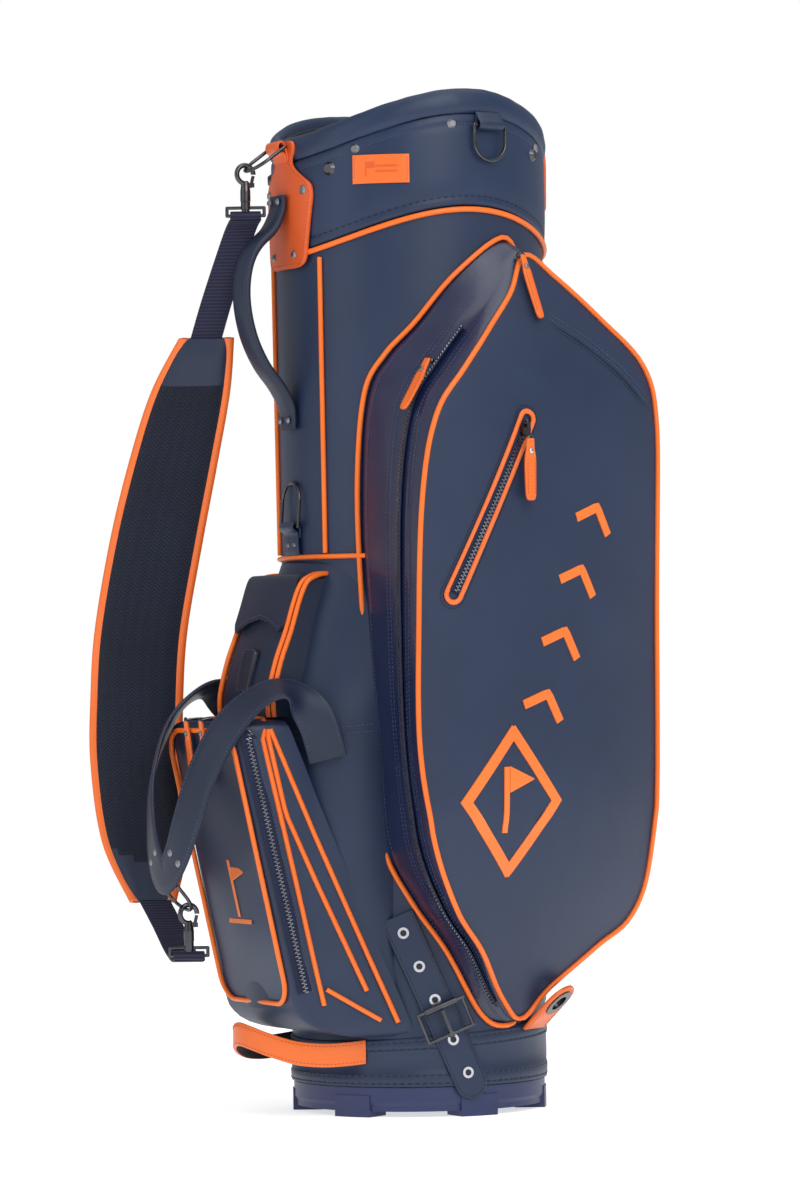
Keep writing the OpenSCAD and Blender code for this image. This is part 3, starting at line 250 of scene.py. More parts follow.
def makeMoulded(name, light, dark, roughness=0.5, cell=1500.0, relief=0.3):
    material, tree, shader = startMaterial(name)
    hide = tree.nodes.new("ShaderNodeGroup")
    hide.node_tree = hideGrain
    hide.inputs["Cell Scale"].default_value = cell
    tree.links.new(blendColour(tree, hide.outputs["Tone"], dark, light), shader.inputs["Base Color"])
    rough = mathNode(tree, "ADD", mathNode(tree, "MULTIPLY", hide.outputs["Scuff"], 0.08), roughness)
    tree.links.new(rough, shader.inputs["Roughness"])
    addBump(tree, shader, hide.outputs["Height"], relief, 0.0004)
    return material


finishes = {
    "navyLeather": makeLeather("navyLeather", srgb(33, 48, 76), srgb(28, 42, 68), 0.45, grain=0.16,
        specular=0.4),
    "cuffLeather": makeLeather("cuffLeather", srgb(31, 48, 78), srgb(26, 42, 70), 0.45, grain=0.16,
        specular=0.4),
    "strapLeather": makeLeather("strapLeather", srgb(28, 39, 62), srgb(23, 33, 54), 0.48, grain=0.16,
        specular=0.4),
    "patentLeather": makeLeather("patentLeather", srgb(24, 35, 70), srgb(18, 28, 60), 0.3, cell=1300,
        grain=0.35, specular=0.6, coat=0.35),
    "orangeLeather": makeLeather("orangeLeather", srgb(236, 112, 40), srgb(226, 102, 34), 0.42, cell=700,
        grain=0.22),
    "yokeLeather": makeLeather("yokeLeather", srgb(220, 92, 36), srgb(206, 82, 30), 0.42, cell=700,
        grain=0.18),
    "orangePiping": makeLeather("orangePiping", srgb(242, 116, 30), srgb(234, 106, 26), 0.42, cell=1100,
        grain=0.15),
    "edgePaint": makeMoulded("edgePaint", srgb(34, 40, 56), srgb(26, 32, 46), 0.5),
    "blackKnit": makeKnit("blackKnit", srgb(30, 31, 38), srgb(14, 15, 20)),
    "spacerMesh": makeWoven("spacerMesh", srgb(26, 36, 60), srgb(6, 9, 18), 0.0034, 0.0011, 0.7,
        zigzag=0.0052, zigzagPitch=0.0052, relief=0.9),
    "webbing": makeWoven("webbing", srgb(42, 44, 74), srgb(16, 17, 38), 0.0032, 0.0012, 0.6, relief=0.9),
    "zipTape": makeWoven("zipTape", srgb(36, 44, 76), srgb(18, 24, 50), 0.0009, 0.0009, 0.7),
    "threadNavy": makeMoulded("threadNavy", srgb(78, 92, 124), srgb(56, 70, 100), 0.6),
    "threadDark": makeMoulded("threadDark", srgb(14, 18, 32), srgb(8, 11, 22), 0.6),
    "threadOrange": makeMoulded("threadOrange", srgb(190, 78, 26), srgb(160, 62, 20), 0.6),
    "cupPlastic": makeMoulded("cupPlastic", srgb(38, 48, 92), srgb(32, 42, 82), 0.42, cell=1000, relief=0.5),
    "blackPlastic": makeMoulded("blackPlastic", srgb(26, 28, 34), srgb(18, 20, 25), 0.45),
    "plateRubber": makeMoulded("plateRubber", srgb(30, 36, 54), srgb(22, 28, 44), 0.35, relief=0.15),
    "fibreglass": makeMoulded("fibreglass", srgb(150, 154, 160), srgb(130, 134, 140), 0.3),
    "gunmetal": makeMetal("gunmetal", srgb(96, 97, 102), srgb(58, 59, 64), 0.26),
    "satinCap": makeMetal("satinCap", srgb(150, 152, 158), srgb(112, 114, 120), 0.42),
    "brightMetal": makeMetal("brightMetal", srgb(214, 216, 222), srgb(176, 178, 184), 0.28),
    "toothMetal": makeMetal("toothMetal", srgb(170, 172, 180), srgb(110, 112, 122), 0.3),
    "markFilm": makeMoulded("markFilm", srgb(240, 122, 44), srgb(234, 112, 38), 0.36, cell=600, relief=0.1),
}
print("materials ready:", len(finishes))

# ---------- the bag's own measures ----------
bag = {"lowRadius": 113.0, "highRadius": 119.5, "base": 74.0, "seam": 754.0,
    "cuffRadius": 121.5, "rimDip": 36.0, "turn": 8.5, "bow": 443.0}
saddleRadius = (bag["cuffRadius"] ** 2 + bag["rimDip"] ** 2) / (2 * bag["rimDip"])


def tubeRadius(z):
    flare = bag["highRadius"] - bag["lowRadius"]
    return bag["lowRadius"] + flare * (z - bag["base"]) / (bag["seam"] - bag["base"])


def saddle(x):
    return saddleRadius - math.sqrt(max(0, saddleRadius ** 2 - x * x))


def polar(radius, angle, z=0.0):
    a = math.radians(angle)
    return Vector((radius * math.sin(a), -radius * math.cos(a), z))


def between(x, table):
    # straight-line value between the pairs of a table
    if x <= table[0][0]:
        return table[0][1]
    for (a, p), (b, q) in zip(table, table[1:]):
        if x <= b:
            return p + (q - p) * (x - a) / (b - a)
    return table[-1][1]


def smoothPath(points, steps, closed=False):
    p = [Vector(q) for q in points]
    m = len(p)
    out = []
    for i in range(m if closed else m - 1):
        a = p[(i - 1) % m] if closed or i > 0 else p[0]
        b = p[i]
        c = p[(i + 1) % m]
        d = p[(i + 2) % m] if closed or i + 2 < m else p[-1]
        for j in range(steps):
            t = j / steps
            out.append(0.5 * (2 * b + (c - a) * t + (2 * a - 5 * b + 4 * c - d) * t ** 2
                + (3 * b - a - 3 * c + d) * t ** 3))
    if not closed:
        out.append(p[-1].copy())
    return out


def heading(path, i, closed=False):
    m = len(path)
    if closed:
        return (path[(i + 1) % m] - path[(i - 1) % m]).normalized()
    return (path[min(i + 1, m - 1)] - path[max(i - 1, 0)]).normalized()


def evenPath(points, pitch, closed=False):
    p = list(points) + ([points[0]] if closed else [])
    total = sum((b - a).length for a, b in zip(p, p[1:]))
    count = max(2, round(total / pitch))
    out, walked, i = [], 0.0, 0
    for k in range(count if closed else count + 1):
        target = total * k / count
        while i < len(p) - 2 and walked + (p[i + 1] - p[i]).length < target:
            walked += (p[i + 1] - p[i]).length
            i += 1
        span = (p[i + 1] - p[i]).length
        out.append(p[i].lerp(p[i + 1], min(1, (target - walked) / span if span else 0)))
    return out


def outlineOffset(points, distance):
    # moves a closed anticlockwise outline inwards
    m = len(points)
    out = []
    for i in range(m):
        t = (points[(i + 1) % m] - points[(i - 1) % m]).normalized()
        out.append(points[i] + distance * Vector((-t.y, t.x)))
    return out


# ---------- bmesh helpers ----------


def loft(rings, closed=False, paint=None, capped=True):
    # a skin over rings of points: a grid is wrapped onto them and its seams are merged
    rows = len(rings) if closed else len(rings) - 1
    sides = len(rings[0])
    bm = bmesh.new()
    bmesh.ops.create_grid(bm, x_segments=rows, y_segments=sides, size=0.5)
    centres = [sum(r, Vector((0, 0, 0))) / sides for r in rings]
    along, around = [0.0], []
    for a, b in zip(centres, centres[1:] + centres[:1]):
        along.append(along[-1] + max((b - a).length, 0.01))
    middle = rings[len(rings) // 2]
    around = [0.0]
    for a, b in zip(middle, middle[1:] + middle[:1]):
        around.append(around[-1] + (b - a).length)
    uvLayer = bm.loops.layers.uv.new("UVMap")
    spots = {v: (round((v.co.x + 0.5) * rows), round((v.co.y + 0.5) * sides)) for v in bm.verts}
    for face in bm.faces:
        for loop in face.loops:
            i, j = spots[loop.vert]
            loop[uvLayer].uv = (along[i] / 1000, around[j] / 1000)
        if paint:
            face.material_index = paint(min(spots[v][0] for v in face.verts),
                min(spots[v][1] for v in face.verts))
    for v, (i, j) in spots.items():
        v.co = rings[i % len(rings)][j % sides]
    bmesh.ops.remove_doubles(bm, verts=bm.verts, dist=0.002)
    if not closed and capped:
        bmesh.ops.holes_fill(bm, edges=[e for e in bm.edges if e.is_boundary], sides=0)
    bmesh.ops.recalc_face_normals(bm, faces=bm.faces)
    return bm


def cord(path, diameter, up, closed=False, sides=10, flat=1.0):
    # a round cord; flat squeezes it along its own normal
    rings = []
    for i, p in enumerate(path):
        t = heading(path, i, closed)
        upHere = Vector(up(i)) if callable(up) else Vector(up)
        side = t.cross(upHere).normalized()
        high = side.cross(t)
        rings.append([p + diameter / 2 * (side * math.cos(math.tau * j / sides)
            + high * flat * math.sin(math.tau * j / sides)) for j in range(sides)])
    return loft(rings, closed)


def strapSection(width, thickness, edge=0.4):
    # half-round edges and a slightly soft face
    w, t = width / 2, thickness / 2
    e = min(thickness * edge, w * 0.5)
    top = [(-w, 0), (-w + e * 0.25, t * 0.7), (-w + e, t), (-w * 0.4, t * 1.02), (0, t * 1.03),
        (w * 0.4, t * 1.02), (w - e, t), (w - e * 0.25, t * 0.7)]
    return top + [(-x, -y) for x, y in top]


def strap(path, across, widths, thickness, closed=False, paint=None, edge=0.4):
    rings = []
    for i, p in enumerate(path):
        t = heading(path, i, closed)
        a = Vector(across[i]).normalized()
        n = a.cross(t).normalized()
        rings.append([p + a * x + n * y for x, y in strapSection(widths[i], thickness, edge)])
    return loft(rings, closed, paint)


def merge(target, extra, index=None):
    # adds one bmesh to another, and may set its material
    mesh = bpy.data.meshes.new("passing")
    if index is not None:
        for face in extra.faces:
            face.material_index = index
    extra.to_mesh(mesh)
    extra.free()
    target.from_mesh(mesh)
    bpy.data.meshes.remove(mesh)
    return target


def beads(spots, sizes, flatTop=False):
    # one small domed or boxed shape at each spot: (point, along, up)
    bm = bmesh.new()
    for point, along, up in spots:
        side = along.cross(up).normalized()
        high = side.cross(along).normalized()
        place = Matrix((
            (along.x * sizes[0], side.x * sizes[1], high.x * sizes[2], point.x),
            (along.y * sizes[0], side.y * sizes[1], high.y * sizes[2], point.y),
            (along.z * sizes[0], side.z * sizes[1], high.z * sizes[2], point.z), (0, 0, 0, 1)))
        if flatTop:
            bmesh.ops.create_cube(bm, size=1.0, matrix=place)
        else:
            bmesh.ops.create_icosphere(bm, subdivisions=1, radius=0.5, matrix=place)
    return bm


threads = {}


def stitch(path, up, finish="threadNavy", pitch=3.6, share=0.7, thick=0.8, closed=False, lift=0.1,
        body="bag"):
    # a row of thread along a path; up is a vector or a function of the point
    points = evenPath(path, pitch, closed)
    spots = []
    for i in range(len(points) - (0 if closed else 1)):
        a, b = points[i], points[(i + 1) % len(points)]
        middle = (a + b) / 2
        n = up(middle) if callable(up) else Vector(up)
        spots.append((middle + n * lift, (b - a).normalized(), n))
    row = beads(spots, (pitch * share, thick, thick * 0.8))
    key = (finish, body)
    if key not in threads:
        threads[key] = bmesh.new()
    merge(threads[key], row)


def radial(p):
    return Vector((p.x, p.y, 0)).normalized()


def dome(centre, up, diameter, height, bm=None):
    # a low rivet cap
    own = bmesh.new()
    turn = Vector(up).to_track_quat("Z", "Y").to_matrix().to_4x4()
    bmesh.ops.create_uvsphere(own, u_segments=20, v_segments=10, radius=0.5)
    bmesh.ops.scale(own, vec=(diameter, diameter, height * 2), verts=own.verts)
    bmesh.ops.transform(own, matrix=Matrix.Translation(centre) @ turn, verts=own.verts)
    return merge(bm, own) if bm else own


def piece(name, bm, materials, body="bag", stands=(), sharp=42):
    bmesh.ops.scale(bm, vec=(0.001, 0.001, 0.001), verts=bm.verts)
    for face in bm.faces:
        face.smooth = True
    for edge in bm.edges:
        if len(edge.link_faces) == 2 and edge.calc_face_angle(0) > math.radians(sharp):
            edge.smooth = False
    mesh = bpy.data.meshes.new(name)
    bm.to_mesh(mesh)
    bm.free()
    for material in materials:
        mesh.materials.append(finishes[material])
    thing = bpy.data.objects.new(name, mesh)
    bpy.context.collection.objects.link(thing)
    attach(thing, body)
    if stands:
        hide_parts(*stands)
    return thing


def crinkle(bm, amount, scale):
    # soft creases: moves each point along its normal by slow noise
    bm.normal_update()
    for v in bm.verts:
        shift = noise.noise(v.co * scale) * amount
        v.co += v.normal * shift

# ---------- tube and base ----------
skin = {"thickness": 2.2, "turns": 180, "rise": 26, "backLean": 0.07}


def footLine(y):
    return bag["base"] + skin["backLean"] * y


def tubeSkin():
    rings = []
    for k in range(skin["turns"]):
        angle = 360 * k / skin["turns"]
        outside, inside = [], []
        for j in range(skin["rise"] + 1):
            flat = polar(tubeRadius(400), angle)
            low = footLine(flat.y) - 1
            top = bag["seam"] + saddle(bag["cuffRadius"] * math.sin(math.radians(angle)))
            z = low + (top - low) * j / skin["rise"]
            outside.append(polar(tubeRadius(z), angle, z))
            inside.append(polar(tubeRadius(z) - skin["thickness"], angle, z))
        rings.append(outside + inside[::-1])
    return loft(rings, closed=True)


piece("tubeSkin", tubeSkin(), ["navyLeather"],
    stands=("spine_panel", "side_panels", "back_panel"))

band = {"foot": 26.5, "rows": (30.0, 37.5, 63.0, 70.0), "stitch": 6.6,
    "profile": [(26.5, 112.2), (27.2, 114.0), (29, 114.4), (30, 114.0), (31, 114.5), (36, 114.7),
        (37.5, 114.1), (38.6, 114.5), (39.6, 113.8), (48, 113.9), (60, 113.8), (61.2, 114.5), (62.2, 114.6),
        (63, 114.1), (64.2, 114.7), (69, 114.6), (70, 114.2), (71, 114.5), (73, 114.3), (74, 112.9)],
    "threadRadius": 114.25}


def bandHeight(z, y):
    return band["foot"] + (z - band["foot"]) * (footLine(y) - band["foot"]) / (bag["base"] - band["foot"])


def baseBand():
    rings = []
    for k in range(180):
        angle = 2 * k
        ring = []
        for z, r in band["profile"] + [(74, 110.7), (26.5, 110.7)]:
            q = polar(r, angle)
            ring.append(Vector((q.x, q.y, bandHeight(z, q.y))))
        rings.append(ring)
    bm = loft(rings, closed=True)
    crinkle(bm, 0.25, 0.05)
    return bm


piece("baseBand", baseBand(), ["navyLeather"], stands=("base_band",), sharp=60)
for level in band["rows"]:
    ringPath = [Vector((q.x, q.y, bandHeight(level, q.y)))
        for q in (polar(band["threadRadius"], a) for a in range(0, 360, 3))]
    stitch(ringPath, radial, "threadDark", pitch=band["stitch"], share=0.66, thick=1.3, closed=True)

# ---------- piping round the tube ----------
welt = {"diameter": 4.6, "spine": 22, "back": 163, "blockTop": 488.0, "seamRadius": 121.3}


def tubePoint(angle, z, lift):
    return polar(tubeRadius(z) + lift, angle, z)


cuffSeam = [polar(welt["seamRadius"], a)
    + Vector((0, 0, bag["seam"] + 2 + saddle(polar(welt["seamRadius"], a).x))) for a in range(0, 360, 3)]
pipes = cord(cuffSeam, welt["diameter"] + 0.3, (0, 0, 1), closed=True, sides=12)
for sign in (1, -1):
    for angle, low, high in ((welt["spine"], welt["blockTop"] + 6, bag["seam"] - 1),
            (welt["back"], 92, bag["seam"] + 2)):
        line = [tubePoint(sign * angle, low + (high - low) * k / 30, 1.7) for k in range(31)]
        merge(pipes, cord(line, welt["diameter"] - 0.2, (sign, 0.3, 0), sides=12))
piece("tubePiping", pipes, ["orangePiping"], stands=("tube_piping",))

# ---------- cuff, rim and top ----------
cuffShape = {"profile": [(119.0, 759.2), (121.0, 759.8), (121.7, 762.5), (121.9, 765),
    (121.2, 767.6), (122.0, 770.4), (122.4, 785), (122.4, 805), (122.1, 822), (121.9, 828), (121.3, 830.4),
    (121.9, 832.6), (121.6, 836), (120.2, 838.9), (111.8, 838.9), (111.6, 800), (111.6, 759.2)],
    "rim": [(119.6, 839.2), (122.0, 840.6), (123.5, 845), (123.7, 850), (122.6, 855.6), (120.0, 860),
        (116.8, 861.7), (113.8, 860.2), (112.0, 855.5), (111.7, 848), (111.7, 839.2)]}


def saddleRing(profile, turns=216):
    rings = []
    for k in range(turns):
        ring = []
        for r, z in profile:
            q = polar(r, 360 * k / turns)
            ring.append(Vector((q.x, q.y, z + saddle(bag["cuffRadius"] * q.x / r))))
        rings.append(ring)
    return loft(rings, closed=True)


cuffBody = saddleRing(cuffShape["profile"])
crinkle(cuffBody, 0.35, 0.02)
piece("cuffBody", cuffBody, ["cuffLeather"], stands=("cuff",), sharp=60)
rimProfile = [(q.x, q.y) for q in smoothPath(cuffShape["rim"], 3, closed=True)]
rimRoll = saddleRing(rimProfile)
crinkle(rimRoll, 1.1, 0.022)
crinkle(rimRoll, 0.35, 0.09)
piece("rimRoll", rimRoll, ["cuffLeather"], stands=("cuff_rim",), sharp=60)


def saddleLine(radius, z, first=0, last=360, step=2.5):
    count = round((last - first) / step)
    points = [polar(radius, first + (last - first) * k / count)
        for k in range(count + (0 if last - first == 360 else 1))]
    return [Vector((q.x, q.y, z + saddle(bag["cuffRadius"] * q.x / radius))) for q in points]


stitch(saddleLine(121.6, 830.5), radial, "threadNavy", pitch=3.4, thick=0.75, closed=True)
stitch(saddleLine(121.5, 767.6), radial, "threadDark", pitch=6.4, share=0.6, thick=1.2, closed=True)

# padded sleeves over the divider bars, and the soft collar round them
sleeves = {"width": 16.4, "foot": 816.0, "top": 847.6, "reach": 98.5, "barY": 35.0}


def paddedBar(a, b):
    w, low, top = sleeves["width"] / 2, sleeves["foot"], sleeves["top"]
    outline = [(-w, low), (-w, top - 6), (-w * 0.86, top - 2.4), (-w * 0.5, top - 0.4), (0, top),
        (w * 0.5, top - 0.4), (w * 0.86, top - 2.4), (w, top - 6), (w, low)]
    rings = []
    side = Vector((-(b - a).y, (b - a).x, 0)).normalized()
    for k in range(41):
        p = a.lerp(b, k / 40)
        swell = 1 + 0.03 * math.sin(k * math.pi / 5)
        rings.append([p + side * x * swell + Vector((0, 0, z)) for x, z in outline])
    return loft(rings)


topPads = paddedBar(Vector((0, -sleeves["reach"], 0)), Vector((0, sleeves["reach"], 0)))
for sign in (1, -1):
    y = sign * sleeves["barY"]
    x = math.sqrt(sleeves["reach"] ** 2 - y * y)
    merge(topPads, paddedBar(Vector((-x, y, -0.3)), Vector((x, y, -0.3))))
collar = smoothPath([(99.6, 816), (99.4, 838), (100.4, 845.5), (104, 847.4), (108, 846.8), (109.6, 843),
    (109.8, 816)], 2,
    closed=True)
merge(topPads, loft([[polar(q.x, 2.5 * k, q.y) for q in collar] for k in range(144)], closed=True))
crinkle(topPads, 0.3, 0.05)
piece("topPads", topPads, ["blackKnit"], stands=("divider_sleeves",), sharp=60)


def curvedPatch(rows, radius, thickness, angle=0.0, columns=16):
    # a leather patch round the cuff: rows are (height, left, right) in mm along the arc
    rings = []
    for z, left, right in rows:
        ring = []
        w = (right - left) / 2
        c = (right + left) / 2
        edge = min(1.2, w * 0.4)
        spans = [-w, -w + edge * 0.3, -w + edge] + [(-w + edge) + (2 * (w - edge)) * k / columns
            for k in range(1, columns)] + \
            [w - edge, w - edge * 0.3, w]
        lifts = [0.35, 0.82] + [1.0] * (len(spans) - 4) + [0.82, 0.35]
        for x, h in zip(spans, lifts):
            ring.append((x, radius + thickness * h))
        for x in reversed(spans[1:-1]):
            ring.append((x, radius))
        points = []
        for x, r in ring:
            q = polar(r, angle + math.degrees((c + x) / radius), z)
            points.append(q)
        rings.append(points)
    return loft(rings)


def rowsFrom(halves, steps=3):
    line = smoothPath([(z, w) for z, w in halves], steps)
    return [(q.x, -q.y, q.y) for q in line]


yoke = {"inside": 123.0, "thickness": 2.7, "halves": [(857.6, 13.5), (856.4, 17.2), (853, 19.2), (847.5, 19),
    (841, 15.8), (834, 18.4), (826, 29), (819, 39.5), (813, 42.6), (806, 43), (792, 40.6), (778, 38.4),
    (762, 36), (753, 34.4), (748, 30.5), (745.6, 24), (745, 16)]}
yokeSkin = curvedPatch(rowsFrom(yoke["halves"]), yoke["inside"], yoke["thickness"])
# the loop at its top that holds the strap's ring
loopPath = smoothPath([(0, -124.6, 838), (0, -126.6, 848.5), (0, -130.0, 856.3), (0, -133.8, 855.4),
    (0, -134.6, 851), (0, -132.2, 847.6), (0, -128.4, 846), (0, -126.6, 839)], 4)
merge(yokeSkin, strap(loopPath, [(1, 0, 0)] * len(loopPath), [24.4] * len(loopPath), 2.0))
piece("yokeSkin", yokeSkin, ["yokeLeather"], stands=("handle_yoke",))
for sign in (1, -1):
    border = [polar(yoke["inside"] + yoke["thickness"], math.degrees(sign * (w - 3.4) / 124), z)
        for z, w in [(q.x, q.y) for q in smoothPath(yoke["halves"][4:-1], 3)]]
    stitch(border, radial, "threadOrange", pitch=3.4, thick=0.75)
stitch([polar(yoke["inside"] + yoke["thickness"], a, 748.6) for a in range(-12, 13, 2)], radial,
    "threadOrange", pitch=3.4, thick=0.75)

label = {"angle": 51, "half": 25.4, "low": 814.4, "high": 839.4, "inside": 122.1, "thickness": 1.5}
labelRows = [(label["low"] + (label["high"] - label["low"]) * k / 6, -label["half"], label["half"])
    for k in range(7)]
labelSkin = curvedPatch(labelRows, label["inside"], label["thickness"], label["angle"])
# a plain pressed pennant and two bars
for x, z, w, h in ((-13, 827, 1.3, 13), (-8.8, 830.4, 8, 5.4), (5.6, 829.4, 20, 1.5), (5.6, 824.8, 20, 1.5)):
    merge(labelSkin, curvedPatch([(z - h / 2, x - w / 2, x + w / 2), (z, x - w / 2, x + w / 2),
        (z + h / 2, x - w / 2, x + w / 2)], label["inside"] + label["thickness"] - 0.1, 0.35,
        label["angle"], columns=4),
        index=1)
piece("cuffLabel", labelSkin, ["orangeLeather", "yokeLeather"], stands=("cuff_label",))
frameLine = []
for x, z in ((-23.4, 816.4), (23.4, 816.4), (23.4, 837.4), (-23.4, 837.4), (-23.4, 816.4)):
    frameLine.append(polar(label["inside"] + label["thickness"],
        label["angle"] + math.degrees(x / label["inside"]), z))
stitch([a.lerp(b, k / 8) for a, b in zip(frameLine, frameLine[1:]) for k in range(8)], radial,
    "threadOrange", pitch=2.5, thick=0.6)

rimStrap = {"inside": 124.0, "thickness": 2.4, "halves": [(801, 32), (803, 38), (808, 39.6), (826, 40.4),
    (842, 41), (851, 38), (857, 30), (860, 20), (860.8, 10)], "seam": 3.6, "bend": 125}
rimSkin = curvedPatch(rowsFrom(rimStrap["halves"]), rimStrap["inside"], rimStrap["thickness"], 180)
piece("rimStrap", rimSkin, ["yokeLeather"], stands=("rim_handle",))
stitch([polar(126.5, 180 + math.degrees((w - rimStrap["seam"]) / rimStrap["bend"]), z)
    for z, w in rimStrap["halves"][1:]], radial,
    "threadOrange", pitch=3.4, thick=0.7)
stitch([polar(126.5, 180 - math.degrees((w - rimStrap["seam"]) / rimStrap["bend"]), z)
    for z, w in rimStrap["halves"][1:]], radial,
    "threadOrange", pitch=3.4, thick=0.7)

# ---------- loops for the D-rings ----------
towel = {"angle": 97, "hinge": 126.7, "z": 865.415, "width": 26}
spine = {"hinge": 122.444, "z": 518.0, "width": 26}


def loopTab(path, angle, width):
    turn = Matrix.Rotation(math.radians(angle), 4, "Z")
    points = [turn @ Vector((0, -q.x, q.y)) for q in smoothPath(path, 4)]
    side = turn @ Vector((1, 0, 0))
    return strap(points, [side] * len(points), [width] * len(points), 1.7)


h, z = towel["hinge"], towel["z"]
tabs = loopTab([(122.9, z + 11), (124.3, z + 9), (127.4, z + 4.6), (130, z + 1.6), (129.6, z - 2),
    (126.9, z - 3.6), (124.2, z - 2.4), (123.2, z + 1), (122.7, z + 9)], towel["angle"], towel["width"])
h, z = spine["hinge"], spine["z"]
merge(tabs, loopTab([(117.8, z - 25), (119.6, z - 24), (120.6, z - 14), (120.9, z - 6), (124.6, z - 3),
    (126, z), (124.8, z + 2.8), (122.2, z + 3.5), (119.7, z + 2.2), (118.6, z - 1), (118.3, z - 10)], 0,
    spine["width"]))
piece("ringTabs", tabs, ["navyLeather"], stands=("ring_tabs",))
for up, side in ((8.8, 10.5), (6.4, 10.5)):
    stitch([polar(125.6, towel["angle"] + math.degrees(x / 125), towel["z"] + up)
        for x in (-side, -side / 2, 0, side / 2,
        side)], radial, "threadNavy", pitch=2.8, thick=0.7)

# ---------- carry handle ----------
grip = {"width": 26.5, "thickness": 9.0, "low": 620.0,
    "arc": [(-4.2, -16), (-4.2, -4), (-7, 8), (-15, 22), (-29, 40), (-40, 62), (-46, 86), (-47, 108),
        (-43, 129), (-34, 145)]}
arc = [(q[0] - tubeRadius(grip["low"] + q[1]), grip["low"] + q[1]) for q in grip["arc"]]
gripLine = smoothPath([(0, y, z) for y, z in arc + [(-138.3, 780), (-130.05, 798), (-130.05, 810)]], 5)


def gripHandle():
    rings = []
    for i, p in enumerate(gripLine):
        t = heading(gripLine, i)
        n = Vector((1, 0, 0)).cross(t).normalized()
        s = min(1, min(i, len(gripLine) - 1 - i) / 9)
        w = grip["width"] / 2 * (1 if s < 1 else 1)
        d = grip["thickness"] / 2 * (0.62 + 0.38 * s)
        outline = []
        for j in range(28):
            a = math.tau * j / 28
            x, y = math.cos(a), math.sin(a)
            x = math.copysign(abs(x) ** 0.62, x)
            y = math.copysign(abs(y) ** 0.72, y)
            outline.append(p + Vector((1, 0, 0)) * x * w + n * y * d)
        rings.append(outline)
    return loft(rings)


piece("gripHandle", gripHandle(), ["strapLeather"], stands=("carry_handle",))
for sign in (1, -1):
    edge = [p + Vector((sign * grip["width"] / 2 * 0.985, 0, 0)) for p in gripLine[6:-8]]
    stitch(edge, (sign, 0, 0), "threadDark", pitch=3.6, thick=0.9)
    seam = cord(edge, 1.6, (sign, 0, 0), sides=6)
    piece("gripEdge" + ("Right" if sign > 0 else "Left"), seam, ["edgePaint"])

# ---------- front block ----------
block = {"low": 96.0, "top": 487.4,
    "centre": [(352, 74), (387, 56), (440, 42), (488, 25)], "radius": [(352, 89), (387, 91), (488, 94)]}


def blockPoint(angle, z, grow=0.0):
    q = polar(between(z, block["radius"]) + grow, angle)
    return Vector((q.x, q.y - between(z, block["centre"]), z))


def frontBlock():
    levels = [block["low"] + (block["top"] - 3 - block["low"]) * k / 44 for k in range(45)]
    rings = []
    for z in levels:
        rings.append([blockPoint(a, z, 0.8 * math.sin(math.pi * (z - 96) / 392)) for a in range(0, 360, 4)])
    for grow, z in ((-0.6, 486), (-2.4, 487.6), (-6, 488.2), (-12, 488.3)):
        rings.append([blockPoint(a, 486, grow) + Vector((0, 0, z - 486)) for a in range(0, 360, 4)])
    bm = loft(rings)
    crinkle(bm, 1.4, 0.018)
    return bm


piece("frontBlock", frontBlock(), ["navyLeather"], stands=("front_block",))
for level, first, last in ((331, 24, 82), (337, 24, 82)):
    for sign in (1, -1):
        line = [blockPoint(sign * a, level + 0.12 * (a - 24), 1.4) for a in range(first, last, 3)]
        stitch(line, radial, "threadNavy", pitch=3.6, thick=0.8)

# ---------- pouch ----------
pouch = {"front": [(-168, 351), (-168.6, 362), (-167.4, 374), (-160.4, 400), (-150.4, 426),
    (-143.4, 448), (-137.5, 463), (-132, 470.5), (-124, 473.2), (-112, 473.5)]}


def pouchOutline(shrink):
    front = smoothPath([Vector((y + shrink, z)) for y, z in pouch["front"][:-3]], 3)
    top = smoothPath([Vector((y + shrink * 0.4, z - shrink)) for y, z in pouch["front"][-3:]], 3)
    return [(q.x, q.y) for q in front + top] + [(-94, 473 - shrink), (-94, 351)]


def pouchBody():
    rings = []
    for x, shrink in ((-47, 4.6), (-46.8, 2.6), (-45.8, 1.0), (-44, 0.1), (-38, -0.5), (-26, -1.1),
        (-12, -1.4), (0, -1.5),
            (12, -1.4), (26, -1.1), (38, -0.5), (44, 0.1), (45.8, 1.0), (46.8, 2.6), (47, 4.6)):
        rings.append([Vector((x, y, z)) for y, z in pouchOutline(shrink)])
    return loft(rings)


piece("pouchBody", pouchBody(), ["strapLeather"], stands=("pouch_body",))
pouchEdge = bmesh.new()
for sign in (1, -1):
    for x, grow in ((48.2, 1.4), (52.6, -1.8)):
        line = smoothPath([Vector((sign * x, y - grow, z)) for y, z in pouch["front"][:-2]]
            + [Vector((sign * (x - 3), -120 - grow, 475.2)), Vector((sign * (x - 6), -110, 476))], 4)
        merge(pouchEdge, cord(line, 4.3, (sign, 0, 0), sides=12))
piece("pouchPiping", pouchEdge, ["orangePiping"])

flap = {"path": [(-131, 475.8), (-136, 475.2), (-140.6, 469), (-147.6, 448), (-151.8, 436), (-155.8, 424)],
    "edge": [(0, 436), (20, 432.6), (35, 427), (42, 424.6), (46, 427), (48, 432)], "thickness": 2.2}


def pouchFlap():
    line = smoothPath([Vector((y, z)) for y, z in flap["path"]], 8)
    rings = []
    for k in range(33):
        x = -48 + 96 * k / 32
        low = between(abs(x), flap["edge"])
        run = [q for q in line if q.y > low]
        run = evenPath(run, (sum((b - a).length for a, b in zip(run, run[1:]))) / 18)[:19]
        crown = 0.8 * math.cos(x / 48 * math.pi / 2)
        up = [Vector((x, q.x - crown - flap["thickness"] / 2, q.y)) for q in run]
        down = [Vector((x, q.x - crown + flap["thickness"] / 2, q.y)) for q in reversed(run)]
        rings.append(up + down)
    return loft(rings)


